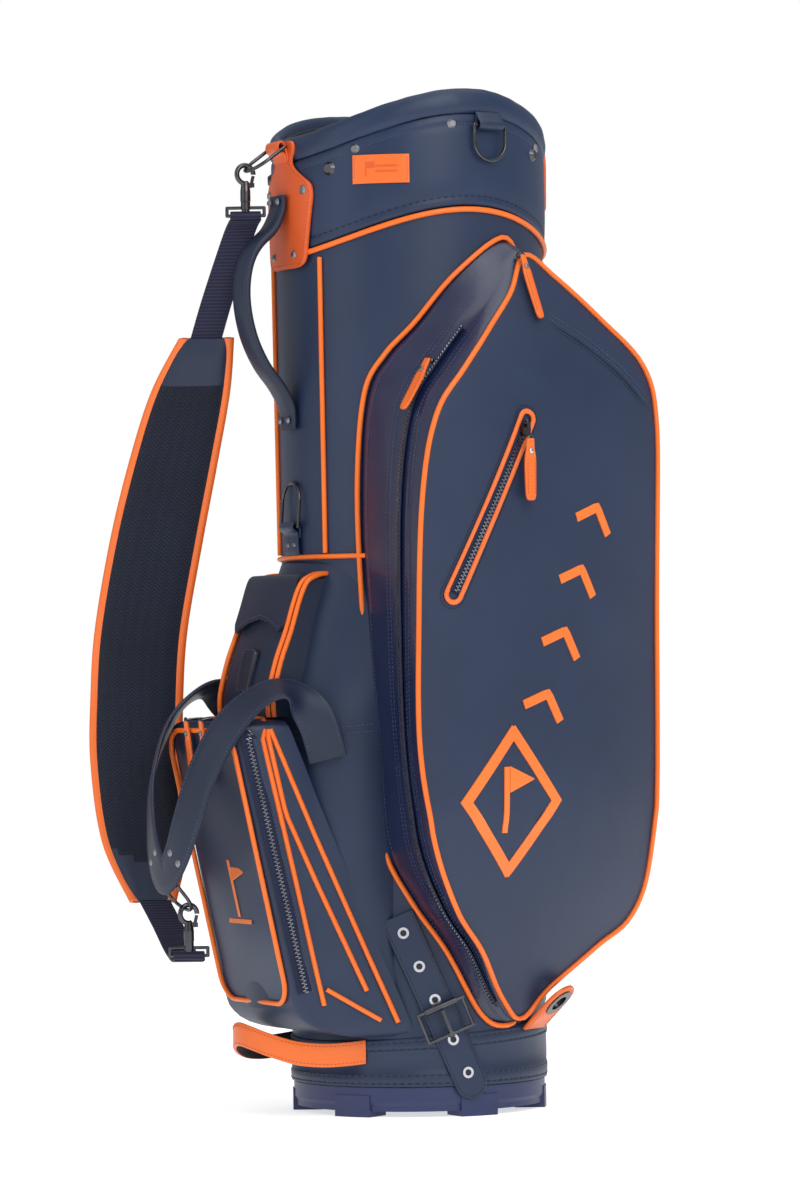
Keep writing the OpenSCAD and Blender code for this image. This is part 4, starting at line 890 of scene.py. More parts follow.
piece("pouchFlap", pouchFlap(), ["strapLeather"], body="pouch_flap", stands=("pouch_flap",))
flapEdge = []
for k in range(33):
    x = -45 + 90 * k / 32
    z = between(abs(x), flap["edge"]) + 4.6
    y = between(z, [(424, -155.8), (436, -151.8), (448, -147.6), (469, -140.6)])
    flapEdge.append(Vector((x, y - 2.0 - 0.6 * math.cos(x / 48 * math.pi / 2), z)))
stitch(flapEdge, (0, -0.95, 0.3), "threadNavy", pitch=3.4, thick=0.75, body="pouch_flap")

plate = {"middle": (0, -166.2, 391.4), "along": (0, 8.3, 33.6), "half": (12.5, 19.5), "corner": 4.5,
    "height": 2.6}


def roundedFrame(halfX, halfY, corner, steps=6):
    out = []
    for cx, cy, start in ((1, 1, 0), (-1, 1, 90), (-1, -1, 180), (1, -1, 270)):
        for k in range(steps + 1):
            a = math.radians(start + 90 * k / steps)
            out.append((cx * (halfX - corner) + corner * math.cos(a),
                cy * (halfY - corner) + corner * math.sin(a)))
    return out


def pouchPlate():
    up = Vector(plate["along"]).normalized()
    out = Vector((1, 0, 0)).cross(up).normalized()
    rings = []
    hx, hy = plate["half"]
    for inset, height in ((0, -1.5), (0, plate["height"] - 1), (0.4, plate["height"] - 0.3),
        (1.1, plate["height"]),
            (2.4, plate["height"]), (3.0, plate["height"] - 0.7), (5, plate["height"] - 0.8)):
        rings.append([Vector(plate["middle"]) + Vector((1, 0, 0)) * x + up * y + out * height
            for x, y in roundedFrame(hx - inset, hy - inset, max(1.2, plate["corner"] - inset))])
    return loft(rings)


piece("pouchPlate", pouchPlate(), ["plateRubber"], stands=("pouch_plate",))
print("tube, cuff, block and pouch ready")

# ---------- ball pocket ----------
ball = {"reach": 212.0, "low": 98.0, "top": 348.0}


def ballFront(z):
    return -between(z, [(ball["low"], ball["reach"] - 54), (ball["top"] - 14, ball["reach"] - 1)])


def slantY(z):
    return -60 - 106 * (z - 76) / 272


def sideX(y):
    return between(y, [(-216, 56), (-206, 66), (-180, 68), (-140, 74), (-96, 86), (-60, 98)])


def ballSection(z, inset, dip=0.0):
    # half of a level line from the rear seam to the front, then mirrored
    front = ballFront(min(max(z, ball["low"]), ball["top"] - 4)) + inset + dip
    rear = slantY(min(z, ball["top"] - 1)) + 3
    side = []
    corner = 9.0
    for k in range(17):
        y = rear + (front + corner - rear) * k / 16
        puff = 2.0 * math.sin(math.pi * k / 16) * min(1, max(0, (z - 90) / 60))
        side.append(Vector((sideX(y) + puff - inset, y, z)))
    x0 = side[-1].x - corner
    for k in range(1, 8):
        a = math.pi / 2 * k / 7
        side.append(Vector((x0 + corner * math.cos(a), front + corner - corner * math.sin(a), z)))
    for k in range(1, 9):
        x = x0 * (1 - k / 8)
        dent = 1.3 * math.sin(math.pi * k / 8 / 2)
        side.append(Vector((x, front - dent * 0.6, z)))
    return side + [Vector((-p.x, p.y, p.z)) for p in reversed(side[:-1])]


def ballPocket():
    rings = [ballSection(z, inset, dip) for z, inset, dip in ((71, 34, 50), (70.8, 14, 50), (71.4, 7, 44),
        (74, 2.8, 34), (78, 0.8, 23), (83, 0, 14), (88.5, 0, 7), (94, 0, 2.2), (99, 0, 0.3))]
    rings += [ballSection(103 + 235 * k / 36, 0) for k in range(37)]
    rings += [ballSection(z, inset) for z, inset in ((342.5, 0.8), (345.8, 2.6), (347.6, 6), (348.3, 11),
        (348.6, 18), (348.8, 30))]
    bm = loft(rings)
    crinkle(bm, 0.9, 0.02)
    return bm


piece("ballPocket", ballPocket(), ["navyLeather"], stands=("ball_pocket",),
    sharp=55)


def frontLoop(half, low, high, back, radius):
    out = []
    for k in range(96):
        a = math.tau * k / 96
        c, s = math.cos(a), math.sin(a)
        x = (half - radius) * max(-1, min(1, c * 40)) + radius * c
        z = (low + high) / 2 + ((high - low) / 2 - radius) * max(-1, min(1, s * 40)) + radius * s
        out.append(Vector((x, ballFront(z) - back, z)))
    return evenPath(out, 5, closed=True)


def hoop(back, lift, low, corner=16.0):
    # up one side of the pocket, over its top and down the other, a distance back from the front
    side = []
    for k in range(25):
        z = low + (ball["top"] - corner - low) * k / 24
        y = ballFront(z) + back
        side.append((Vector((sideX(y) + lift + 1.2 * math.sin(math.pi * k / 24), y, z)), Vector((1, 0, 0))))
    yTop = ballFront(ball["top"]) + back + (12 if back < 20 else 8)
    xTop = sideX(yTop) + lift
    for k in range(1, 8):
        a = math.pi / 2 * k / 7
        side.append((Vector((xTop - corner + corner * math.cos(a),
            yTop - (12 if back < 20 else 8) * (1 - k / 7),
            ball["top"] - corner + (corner + 0.6 + lift) * math.sin(a))),
            Vector((math.cos(a), 0, math.sin(a)))))
    for k in range(1, 9):
        side.append((Vector(((xTop - corner) * (1 - k / 8), yTop, ball["top"] + 0.9 + lift)),
            Vector((0, 0, 1))))
    other = [(Vector((-p.x, p.y, p.z)), Vector((-n.x, n.y, n.z))) for p, n in reversed(side[:-1])]
    return side + other


frontWelt = frontLoop(63.5, 101, 340, 2.3, 22)
ballPipes = cord(frontWelt, 4.4, (0, -1, 0), closed=True, sides=12)
second = hoop(25, 0.9, 100)
merge(ballPipes, cord([p for p, n in second], 4.4, lambda i: second[i][1], sides=12))
for back, low in ((-6, 84), (26, 112)):
    for sign in (1, -1):
        line = []
        for k in range(31):
            z = low + (ball["top"] - 7 - low) * k / 30
            y = slantY(z) - (8 + 8 * (z - 76) / 272) - max(0, back) * (0.55 + 0.2 * k / 30)
            y = max(y, ballFront(z) + 30) if back > 0 else y
            line.append(Vector((sign * (sideX(y) + 2.2), y, z)))
        merge(ballPipes, cord(line, 4.4, (sign, 0, 0), sides=12))
for sign in (1, -1):
    # the slanting piping low on the pocket's side
    line = []
    for k in range(15):
        y = ballFront(100) + 27 + 46 * k / 14
        line.append(Vector((sign * (sideX(y) + 1.4), y, 114 - 28 * k / 14)))
    merge(ballPipes, cord(line, 4.2, (sign, 0, 0), sides=12))
blockEdge = [tubePoint(a, 490.8, 1.9) for a in range(-42, 43, 4)]
merge(ballPipes, cord(blockEdge, 4.4, (0, 0, 1), sides=12))
piece("ballPiping", ballPipes, ["orangePiping"], stands=("ball_piping",))

# zips: a woven tape with two rows of interlocked teeth
zips = {"pitch": 1.7, "tooth": (1.0, 3.0, 1.5), "tape": 15.0}
tapes = bmesh.new()
teeth = bmesh.new()


def zipRun(points, normals, width, closed=False, toothLift=0.9):
    across = [n.cross(heading(points, i, closed)).normalized() for i, n in enumerate(normals)]
    merge(tapes, strap(points, across, [width] * len(points), 1.0, closed))
    even = evenPath(points, zips["pitch"], closed)
    spots = []
    for k in range(len(even) - 1):
        p = even[k]
        near = min(range(len(points)), key=lambda i: (points[i] - p).length_squared)
        t = (even[k + 1] - even[k]).normalized()
        n = normals[near]
        side = n.cross(t).normalized()
        spots.append((p + n * toothLift + side * (0.95 if k % 2 else -0.95), t, n))
    merge(teeth, beads(spots, zips["tooth"], flatTop=True))


ballZip = hoop(11.5, 0.3, 112)
zipRun([p for p, n in ballZip], [n for p, n in ballZip], zips["tape"])
for back in (5.0, 18.0):
    row = hoop(back, 0.7, 112)
    stitch([p for p, n in row], lambda p: Vector((1 if p.x > 0 else -1, 0, 0))
        if p.z < 334 else Vector((0, 0, 1)), "threadNavy", pitch=3.2, thick=0.6)

# a pressed pennant on the pocket's front, in place of any mark
ballMark = bmesh.new()


def frontBar(x0, z0, x1, z1, w0, w1):
    a, b = Vector((x0, 0, z0)), Vector((x1, 0, z1))
    t = (b - a).normalized()
    s = Vector((-t.z, 0, t.x))
    rings = []
    for k in range(9):
        p = a.lerp(b, k / 8)
        w = (w0 + (w1 - w0) * k / 8) / 2
        y = ballFront(p.z) - 0.75
        rings.append([p + s * w + Vector((0, y, 0)), p + s * (w - 0.3) + Vector((0, y - 0.6, 0)),
            p - s * (w - 0.3) + Vector((0, y - 0.6, 0)), p - s * w + Vector((0, y, 0))])
    return loft(rings)


for bar in ((0, 176, 0, 226, 4.2, 4.2), (2.4, 216, 26, 216, 18, 1.2), (-22, 172, 22, 172, 4.2, 4.2)):
    merge(ballMark, frontBar(*bar))
piece("ballMark", ballMark, ["markFilm"])

# ---------- apparel pockets ----------
apparel = {"depth": 69.0, "steps": 6, "crown": 1.8,
    "out": [(70, 0.02), (82, 0.04), (110, 0.17), (150, 0.49), (200, 0.79), (250, 0.94), (300, 1), (560, 1),
        (620, 0.97), (660, 0.86), (700, 0.6), (740, 0.31), (768, 0.08)],
    "edge": [(30, 752), (0, 717), (-35, 684), (-70, 648), (-100, 608), (-114, 540), (-119, 430),
        (-119, 320), (-103, 240), (-75, 185), (-38, 146), (2, 100), (24, 84), (50, 110), (94, 145),
        (133, 173), (144, 240), (148, 450), (153, 600), (143, 655), (100, 696), (56, 734)],
    "narrow": {"edge": 0.48, "foot": 0.6},
    "foot": [(6, 766), (-16, 734), (-34, 690), (-46, 664), (-55, 630), (-58.7, 545), (-57, 430), (-53, 320),
        (-50, 240), (-38, 190), (-23, 146), (-8, 92), (4, 80), (15, 92), (38, 150), (53, 200), (58, 300),
        (58.5, 450), (58, 598), (51, 652), (31, 703), (16, 745)]}
middleRadius = 116.25
# smoother reach of the panel than straight lines between its levels
reachLine = smoothPath([Vector(q) for q in apparel["out"]], 6)
reachTable = [(q.x, q.y) for q in reachLine]


def sideLine(word, side):
    # the left pocket comes round to the front less far than the right one
    share = 1 if side > 0 else apparel["narrow"][word]
    line = smoothPath([Vector(q) for q in apparel[word]], apparel["steps"], closed=True)
    return [Vector((q.x * (share if q.x < 0 else 1), q.y)) for q in line]


edgeLines = {side: sideLine("edge", side) for side in (1, -1)}
footLines = {side: sideLine("foot", side) for side in (1, -1)}


def panelPoint(t, z, deep):
    return Vector((middleRadius + between(z,
        reachTable) * apparel["depth"] - t * t / (2 * bag["bow"]) - deep, t, z))


def footPoint(q, lift):
    a = math.radians(q.x)
    r = tubeRadius(q.y) + lift
    return Vector((r * math.cos(a), r * math.sin(a), q.y))


def placed(points, side):
    turn = Matrix.Rotation(math.radians(bag["turn"]), 4, "Z")
    out = [turn @ Vector(p) for p in points]
    return [Vector((p.x * side, p.y, p.z)) for p in out]


outset = {(side, lift): outlineOffset(edgeLines[side], -lift) for side in (1, -1)
    for lift in (0.0, 0.6, 1.2, 1.8, 3.4)}


def gussetLine(side, share, lift, index=None):
    # a line round the gusset, at a share of the way from the panel's edge to the tube
    line = []
    for i in range(len(edgeLines[side])) if index is None else index:
        e = outset[side, lift][i]
        p = panelPoint(e.x, e.y, 0)
        line.append(p + (footPoint(footLines[side][i], 0) - p) * share)
    return placed(line, side)


panelMiddle = Vector((0, 410))


def crownDepth(k):
    return -apparel["crown"] * (1 - k * k) if k < 1 else 0


def apparelPocket(side):
    rings = []
    foot = [footPoint(q, 0) for q in footLines[side]]
    rings.append(placed([Vector((60, p.y * 0.6, 410 + (p.z - 410) * 0.9)) for p in foot], side))
    rings.append(placed([footPoint(q, -2.5) for q in footLines[side]], side))
    for share, lift in ((1.0, 0.0), (0.94, 0.6), (0.84, 1.2), (0.7, 1.8), (0.6, 1.8), (0.52, 1.2),
        (0.47, 0.6), (0.44, 0.0),
            (0.36, 0.0), (0.28, 0.0), (0.25, 0.6), (0.2, 1.2), (0.13, 1.2), (0.06, 0.6)):
        rings.append(gussetLine(side, share, lift))
    paintTo = len(rings)
    for inset, deep in ((0.0, 1.4), (0.5, 0.5), (1.6, 0.1), (3.2, 0.0)):
        line = outlineOffset(edgeLines[side], inset)
        rings.append(placed([panelPoint(q.x, q.y, deep) for q in line], side))
    base = outlineOffset(edgeLines[side], 3.2)
    for k in (0.97, 0.94, 0.88, 0.81, 0.73, 0.64, 0.55, 0.45, 0.35, 0.25, 0.15, 0.06, 0.02):
        line = [panelMiddle + (q - panelMiddle) * k for q in base]
        rings.append(placed([panelPoint(q.x, q.y, crownDepth(k)) for q in line], side))
    bm = loft(rings, paint=lambda i, j: 1 if 2 <= i < paintTo - 1 else 0)
    crinkle(bm, 0.9, 0.012)
    crinkle(bm, 0.25, 0.05)
    return bm


for side, word in ((1, "right"), (-1, "left")):
    piece("apparelPocket" + word.title(), apparelPocket(side), ["navyLeather", "patentLeather"],
        stands=("apparel_pocket_" + word,), sharp=60)


def outFrom(side):
    turn = Matrix.Rotation(math.radians(bag["turn"]), 4, "Z")
    n = turn @ Vector((1, 0, 0))
    return Vector((n.x * side, n.y, 0))


pocketPipes = bmesh.new()
lips = bmesh.new()
marks = bmesh.new()
slot = {"top": Vector((-14, 604)), "low": Vector((-88, 456)), "half": 6.6}


def slotOutline(half, extra):
    d = (slot["low"] - slot["top"]).normalized()
    n = Vector((-d.y, d.x))
    a, b = slot["top"] - d * extra, slot["low"] + d * extra
    out = []
    for k in range(21):
        q = a.lerp(b, k / 20)
        out.append(q + n * (half - 0.6 * math.sin(math.pi * k / 20)))
    for k in range(1, 8):
        t = math.pi * k / 8
        out.append(b + n * half * math.cos(t) + d * half * math.sin(t))
    for k in range(21):
        q = b.lerp(a, k / 20)
        out.append(q - n * (half - 0.6 * math.sin(math.pi * k / 20)))
    for k in range(1, 8):
        t = math.pi * k / 8
        out.append(a - n * half * math.cos(t) - d * half * math.sin(t))
    return out


def crownedPanel(q, lift):
    # a point on the crowned panel; how far out of the middle sets the crown
    d = q - panelMiddle
    share = min(1, max(abs(d.x) / (116 if d.x < 0 else 148), abs(d.y) / 320))
    return panelPoint(q.x, q.y, crownDepth(share) - lift)


def panelStrip(path, widths, side, lift=0.0, thickness=0.7, closed=False):
    rings = []
    m = len(path)
    for i, q in enumerate(path):
        if closed:
            t = (path[(i + 1) % m] - path[(i - 1) % m]).normalized()
        else:
            t = (path[min(i + 1, m - 1)] - path[max(i - 1, 0)]).normalized()
        n = Vector((-t.y, t.x))
        w = widths[i] / 2
        rings.append(placed([crownedPanel(q + n * w, lift - 0.2),
            crownedPanel(q + n * (w - 0.25), lift + thickness), crownedPanel(q, lift + thickness * 1.1),
            crownedPanel(q - n * (w - 0.25), lift + thickness), crownedPanel(q - n * w, lift - 0.2)], side))
    return loft(rings, closed)


def straight(points, pitch=6):
    out = []
    for a, b in zip(points, points[1:]):
        count = max(1, round((b - a).length / pitch))
        out += [a.lerp(b, k / count) for k in range(count)]
    return out + [points[-1]]


lozenge = {"middle": Vector((-32, 276)), "across": 46.0, "tall": 60.0, "bar": 9.5}
chevrons = {"first": Vector((2, 360)), "step": Vector((20.5, 54)), "count": 4, "arm": 21.0, "bar": 8.5}

for side in (1, -1):
    edge = placed([panelPoint(q.x, q.y, -0.9) for q in outlineOffset(edgeLines[side], -1.1)], side)
    merge(pocketPipes, cord(evenPath(edge, 6, closed=True), 4.6, outFrom(side), closed=True, sides=12))
    flat = outlineOffset([Vector((q.x * middleRadius * math.pi / 180, q.y)) for q in footLines[side]], -2.4)
    base = placed([footPoint(Vector((q.x * 180 / math.pi / middleRadius, q.y)), 2.0) for q in flat], side)
    merge(pocketPipes, cord(evenPath(base, 6, closed=True), 4.6, radial(outFrom(side)), closed=True,
        sides=12))
    # the two zips of each pocket run along its gusset
    m = apparel["steps"] / 2
    for first, last in ((4, 22), (24, 40)):
        index = range(int(first * m), int(last * m) + 1)
        up = gussetLine(side, 0.36, 1.8, index)
        out = gussetLine(side, 0.36, 3.4, index)
        normals = [(o - u).normalized() for o, u in zip(out, up)]
        zipRun(up, normals, 10.5, toothLift=0.7)
    for share, lift in ((0.17, 1.2), (0.23, 1.2), (0.5, 1.8), (0.56, 1.8), (0.9, 1.2)):
        inner = gussetLine(side, share, lift)
        outer = gussetLine(side, share, 3.4)
        stitch(inner, lambda p, inner=inner, outer=outer: (outer[min(range(len(inner)),
            key=lambda i: (inner[i] - p).length_squared)] - inner[min(range(len(inner)),
            key=lambda i: (inner[i] - p).length_squared)]).normalized(), "threadNavy", pitch=3.6,
            thick=0.75, closed=True, lift=0.5)
    # the seam across the panel's top, and its stitches
    seam = straight([Vector((0, 710)), Vector((30, 694)), Vector((66, 674)), Vector((106, 648)),
        Vector((147, 616))])
    merge(marks, panelStrip(seam, [1.1] * len(seam), side, thickness=0.35), index=1)
    for drop in (3.2, 7.2, -3.2):
        row = placed([crownedPanel(Vector((q.x + drop * 0.5, q.y + drop)), 0) for q in seam[1:-2]], side)
        stitch(row, outFrom(side), "threadDark" if drop < 0 else "threadNavy", pitch=3.4, thick=0.75)
    if side < 0:
        continue
    # the generic mark: a lozenge with a pennant, and a row of chevrons
    c = lozenge["middle"]
    tips = [c + Vector((0, lozenge["tall"])), c + Vector((-lozenge["across"], 0)),
        c - Vector((0, lozenge["tall"])), c + Vector((lozenge["across"], 0))]
    for a, b in zip(tips, tips[1:] + tips[:1]):
        t = (b - a).normalized()
        line = straight([a - t * lozenge["bar"] * 0.38, b + t * lozenge["bar"] * 0.38])
        merge(marks, panelStrip(line, [lozenge["bar"]] * len(line), side))
    pole = straight([c + Vector((-7, -27)), c + Vector((-7, 30))])
    merge(marks, panelStrip(pole, [5.5] * len(pole), side))
    count = 10
    pennant = [c + Vector((-4, 19)) + Vector((25, 0)) * k / count for k in range(count + 1)]
    merge(marks, panelStrip(pennant, [22 * (1 - k / count) + 1.4 for k in range(count + 1)], side))
    for k in range(chevrons["count"]):
        c2 = chevrons["first"] + chevrons["step"] * k
        d = chevrons["step"].normalized()
        n = Vector((d.y, -d.x))
        line = straight([c2 - n * chevrons["arm"] - d * 9, c2 + d * 9, c2 + n * chevrons["arm"] - d * 9], 3)
        merge(marks, panelStrip(line, [chevrons["bar"]] * len(line), side))

# the slanted valuables zip is on the right panel only
outline = slotOutline(slot["half"], 2)
points = placed([crownedPanel(q, 1.2) for q in outline], 1)
merge(lips, cord(points, 4.6, outFrom(1), closed=True, sides=10, flat=0.75))
tapeLine = [slot["top"].lerp(slot["low"], k / 16) for k in range(17)]
tapePoints = placed([crownedPanel(q, 1.6) for q in tapeLine], 1)
zipRun(tapePoints, [outFrom(1)] * 17, 11.5, toothLift=0.8)
stitch(placed([crownedPanel(q, 0.2) for q in slotOutline(slot["half"] + 4.6, 3)], 1), outFrom(1),
    "threadDark", pitch=2.4, share=0.62, thick=0.9, closed=True)
piece("pocketPiping", pocketPipes, ["orangePiping"], stands=("pocket_piping",))
piece("slotLips", lips, ["orangeLeather"], stands=("security_zip",))
piece("panelMarks", marks, ["markFilm", "edgePaint"])
piece("zipTapes", tapes, ["zipTape"], stands=("zipper_tapes",))
piece("zipTeeth", teeth, ["toothMetal"], sharp=30)

# ---------- zip pulls ----------
pullSizes = {"ball": (9.0, 58), "gusset": (12.0, 50), "top": (8.6, 60), "security": (12.0, 52)}


def zipPull(width, length, place, side=1):
    stations = [(1.4, 0.3), (-1, 0.32), (-5, 0.34), (-9, 0.38), (-14, 0.47), (-20, 0.5),
        (-length * 0.6, 0.49), (-length + 7, 0.46), (-length + 3, 0.41), (-length + 1, 0.33), (-length, 0.22)]
    line = smoothPath([Vector((z, s * width)) for z, s in stations], 3)
    rings = []
    for q in line:
        ring = []
        for j in range(20):
            a = math.tau * j / 20
            x, y = math.cos(a), math.sin(a)
            bend = -0.5 * math.sin(q.x / length * math.pi)
            ring.append(Vector((math.copysign(abs(x) ** 0.4, x) * q.y,
                math.copysign(abs(y) ** 0.5, y) * 1.3 + bend, q.x)))
        rings.append(ring)
    bm = loft(rings)
    for y, up in ((-1.6, -1), (1.0, 1)):
        cap = dome(Vector((0, y, -9.5)), (0, up, 0), 4.8, 1.1)
        merge(bm, cap, index=1)
    eye = [Vector((2.6 * math.cos(math.tau * k / 20), 0, 2.6 * math.sin(math.tau * k / 20) + 1.6))
        for k in range(20)]
    merge(bm, cord(eye, 1.4, (0, 1, 0), closed=True, sides=8), index=2)
    for x in (-1, 1):
        row = [Vector((x * width * 0.33, 0, -17)), Vector((x * width * 0.33, 0, -length + 7))]
        for y in (-1.35, 1.35):
            spots = [(p + Vector((0, y - 0.4, 0)), Vector((0, 0, 1)), Vector((0, 1 if y > 0 else -1, 0)))
                for p in evenPath(row, 2.8)]
            merge(bm, beads(spots, (1.9, 0.55, 0.5)), index=3)
    bmesh.ops.transform(bm, matrix=place, verts=bm.verts)
    if side < 0:
        bmesh.ops.scale(bm, vec=(-1, 1, 1), verts=bm.verts)
        bmesh.ops.recalc_face_normals(bm, faces=bm.faces)
    return bm


def turned(angle, axis):
    return Matrix.Rotation(math.radians(angle), 4, axis)


pullPlaces = {
    "ball": Matrix.Translation((15, -219, 347)) @ turned(6, "X"),
    "gusset": Matrix.Translation((149.622, -62.867, 657.225)) @ turned(8.5, "Z") @ turned(-32, "X"),
    "top": Matrix.Translation((136.878, 40.679, 750)) @ turned(8.5, "Z") @ turned(-24, "Y") @ turned(90, "Z"),
    "security": Matrix.Translation((197.606, 11.3325, 587)) @ turned(8.5, "Z") @ turned(90, "Z")}
for word, place in pullPlaces.items():
    width, length = pullSizes[word]
    for side, hand in ((1, "right"), (-1, "left")):
        if word == "security":
            if side < 0:
                continue
            body = "security_pull"
        else:
            body = word + "_pull_" + hand
        if body == "gusset_pull_left":
            place = Matrix.Translation((155.974, -28.219, 655.827)) @ place.to_3x3().to_4x4()
        piece(word + "Pull" + hand.title(), zipPull(width, length, place, side),
            ["orangeLeather", "brightMetal" if word == "security" else "satinCap", "gunmetal",
                "threadOrange"],
            body=body, stands=(body,))
# the wire links between the ball pocket's sliders and its pulls
links = bmesh.new()
for x in (-15, 15):
    loop = [Vector((x + 2.6 * math.cos(a), -203 + 17.5 * math.sin(a),
        350.6 - 1.6 * max(0, -math.sin(a)) ** 3))
        for a in (math.tau * k / 32 for k in range(32))]
    merge(links, cord(loop, 1.5, (0, 0, 1), closed=True, sides=8))
piece("pullLinks", links, ["gunmetal"])
print("pockets, zips and pulls ready")

# ---------- straps ----------
grab = {"width": 21.0, "thickness": 3.2, "middle": -119.0,
    "half": [(70, -90.5, 57.5), (67, -108, 56), (60, -128, 55.5), (49, -148, 58), (34, -164, 64),
        (17, -174.5, 70), (0, -178, 73)]}
grabHalf = [Vector(q) for q in grab["half"]]
grabPath = smoothPath(grabHalf + [Vector((-q.x, q.y, q.z)) for q in grabHalf[-2::-1]], 6)
grabPath = [p for p in grabPath if p.xy.length > 113.6]
grabSkin = strap(grabPath, [Vector((0, 0, 1))] * len(grabPath), [grab["width"]] * len(grabPath),
    grab["thickness"], paint=lambda i, j: 1 if 8 <= j <= 14 else 0)
piece("grabStrap", grabSkin, ["orangeLeather", "blackKnit"], stands=("grab_strap",))
for lift in (-7.8, 7.8):
    row = [p + (p - Vector((0, grab["middle"], p.z))).normalized() * 1.7 + Vector((0, 0, lift))
        for p in grabPath]
    stitch(row, lambda p: (p - Vector((0, grab["middle"], p.z))).normalized(), "threadOrange", pitch=3.4,
        thick=0.7)

anchor = {"width": 34.0, "thickness": 3.2,
    "half": [(80, -128, 314), (79, -140, 350), (73, -162, 375), (66, -190, 368), (59, -217, 340),
        (49, -236, 300), (37, -244, 262), (21, -248, 230), (0, -249, 214)],
    "face": [(0.83, -0.55, 0), (0.83, -0.5, 0.25), (0.5, -0.1, 0.85), (0.4, -0.5, 0.75), (0.45, -0.85, 0.2),
        (0.35, -0.93, 0), (0.3, -0.95, 0), (0.15, -0.98, 0), (0, -1, 0)]}
half = [Vector(q) for q in anchor["half"]]
face = [Vector(q) for q in anchor["face"]]
anchorLine = smoothPath(half + [Vector((-q.x, q.y, q.z)) for q in half[-2::-1]], 6)
anchorFace = smoothPath(face + [Vector((-q.x, q.y, q.z)) for q in face[-2::-1]], 6)
anchorAcross = [heading(anchorLine, i).cross(f).normalized() for i, f in enumerate(anchorFace)]
anchorUp = [a.cross(heading(anchorLine, i)).normalized() for i, a in enumerate(anchorAcross)]
anchorUp = [u if u.dot(f) > 0 else -u for u, f in zip(anchorUp, anchorFace)]
anchorSkin = strap(anchorLine, anchorAcross, [anchor["width"]] * len(anchorLine), anchor["thickness"])
for share in (-0.5, 0.5):
    for sign in (1, -1):
        i = 42 if sign > 0 else len(anchorLine) - 43
        p = anchorLine[i] + anchorAcross[i] * share * 15 + anchorUp[i] * 1.5
        merge(anchorSkin, dome(p, anchorUp[i], 7, 1.3), index=1)
piece("anchorStrap", anchorSkin, ["strapLeather", "satinCap"], stands=("anchor_strap",))
for sign in (1, -1):
    row = [p + a * sign * (anchor["width"] / 2 - 2.8) + u * 1.6 for p, a,
        u in zip(anchorLine, anchorAcross, anchorUp)]
    stitch(row[2:-2], lambda p, row=row: anchorUp[min(range(len(row)),
        key=lambda i: (row[i] - p).length_squared)],
        "threadNavy", pitch=3.4, thick=0.7)

pad = {"across": Vector((0.5, 0.866, 0)), "width": 82.0, "thickness": 12.6,
    "route": [(-37, -183.5, 686), (-55, -191, 640), (-75, -199, 580), (-96, -207, 510), (-114, -215, 430),
        (-123, -216, 370), (-120.5, -218, 310), (-109, -216.5, 240), (-85, -220.5, 188)],
    "share": [0.58, 0.84, 0.95, 1, 1, 1, 1, 0.92, 0.5]}
padLine = smoothPath(pad["route"], 9)
padShare = [q.x for q in smoothPath([Vector((s, 0)) for s in pad["share"]], 9)]


def padFrame(i):
    t = heading(padLine, i)
    n = pad["across"].cross(t).normalized()
    if n.dot(Vector((0.866, -0.5, 0))) < 0:
        n = -n
    return t, n


def shoulderPad():
    rings = []
    last = len(padLine) - 1
    for i, p in enumerate(padLine):
        t, n = padFrame(i)
        w = padShare[i] * pad["width"] / 2 - 2.5
        full = min(1, min(i, last - i) / 5 + 0.3)
        ring = []
        for j in range(17):
            x = -w + 2 * w * j / 16
            lift = (1 - abs(x / w) ** 5) * pad["thickness"] * 0.55 * full + 1.2
            ring.append(p + pad["across"] * x + n * lift)
        for j in range(17):
            x = w - 2 * w * j / 16
            lift = (1 - abs(x / w) ** 4) * pad["thickness"] * 0.4 * full + 1.2
            ring.append(p + pad["across"] * x - n * lift)
        rings.append(ring)
    bm = loft(rings, paint=lambda i, j: 0 if j < 16 and i > 7
        and i < len(padLine) - 7 - abs(j - 8) * 0.3 else 1)
    return bm


piece("shoulderPad", shoulderPad(), ["spacerMesh", "strapLeather"], stands=("strap_pad",),
    sharp=60)
bound = {"half": 5.0, "height": 3.9, "inset": 4.2, "seam": 6.6, "lift": 3.4}
binding = bmesh.new()
for sign in (1, -1):
    rings = []
    for i, p in enumerate(padLine):
        t, n = padFrame(i)
        w = padShare[i] * pad["width"] / 2 - bound["inset"]
        centre = p + pad["across"] * sign * w
        rings.append([centre + pad["across"] * bound["half"] * math.cos(math.tau * j / 14)
            + n * bound["height"] * math.sin(math.tau * j / 14) for j in range(14)])
    merge(binding, loft(rings))
    row = []
    for i, p in enumerate(padLine[2:-2], 2):
        t, n = padFrame(i)
        w = padShare[i] * pad["width"] / 2 - bound["seam"]
        row.append(p + pad["across"] * sign * w + n * bound["lift"])
    stitch(row, (0.866, -0.5, 0), "threadOrange", pitch=3.4, thick=0.7)
piece("padBinding", binding, ["orangeLeather"])

webbing = {"width": 28.0, "thickness": 2.6, "drop": 15.8, "bar": 12.5, "fold": 3.2, "sewn": 1.8}
upperSwivel, lowerSwivel = Vector((-9, -157.1, 804.9)), Vector((0, -226, 156.1))
firstPoint = padLine[0] + 5 * heading(padLine, 0)
lastPoint = padLine[-1] - 5 * heading(padLine, len(padLine) - 1)
upperRun = smoothPath([upperSwivel - Vector((0, 0, webbing["drop"])), upperSwivel + Vector((-12, -1, -28)),
    Vector((-34, -173, 722)), firstPoint], 8)
lowerRun = smoothPath([lastPoint, Vector((-62, -217, 167)), Vector((-38, -218, 148)),
    lowerSwivel + Vector((-14, 4, -17)), lowerSwivel - Vector((0, 0, webbing["drop"]))], 8)
webs = bmesh.new()
for run in (upperRun, lowerRun):
    merge(webs, strap(run, [pad["across"]] * len(run), [webbing["width"]] * len(run), webbing["thickness"]))
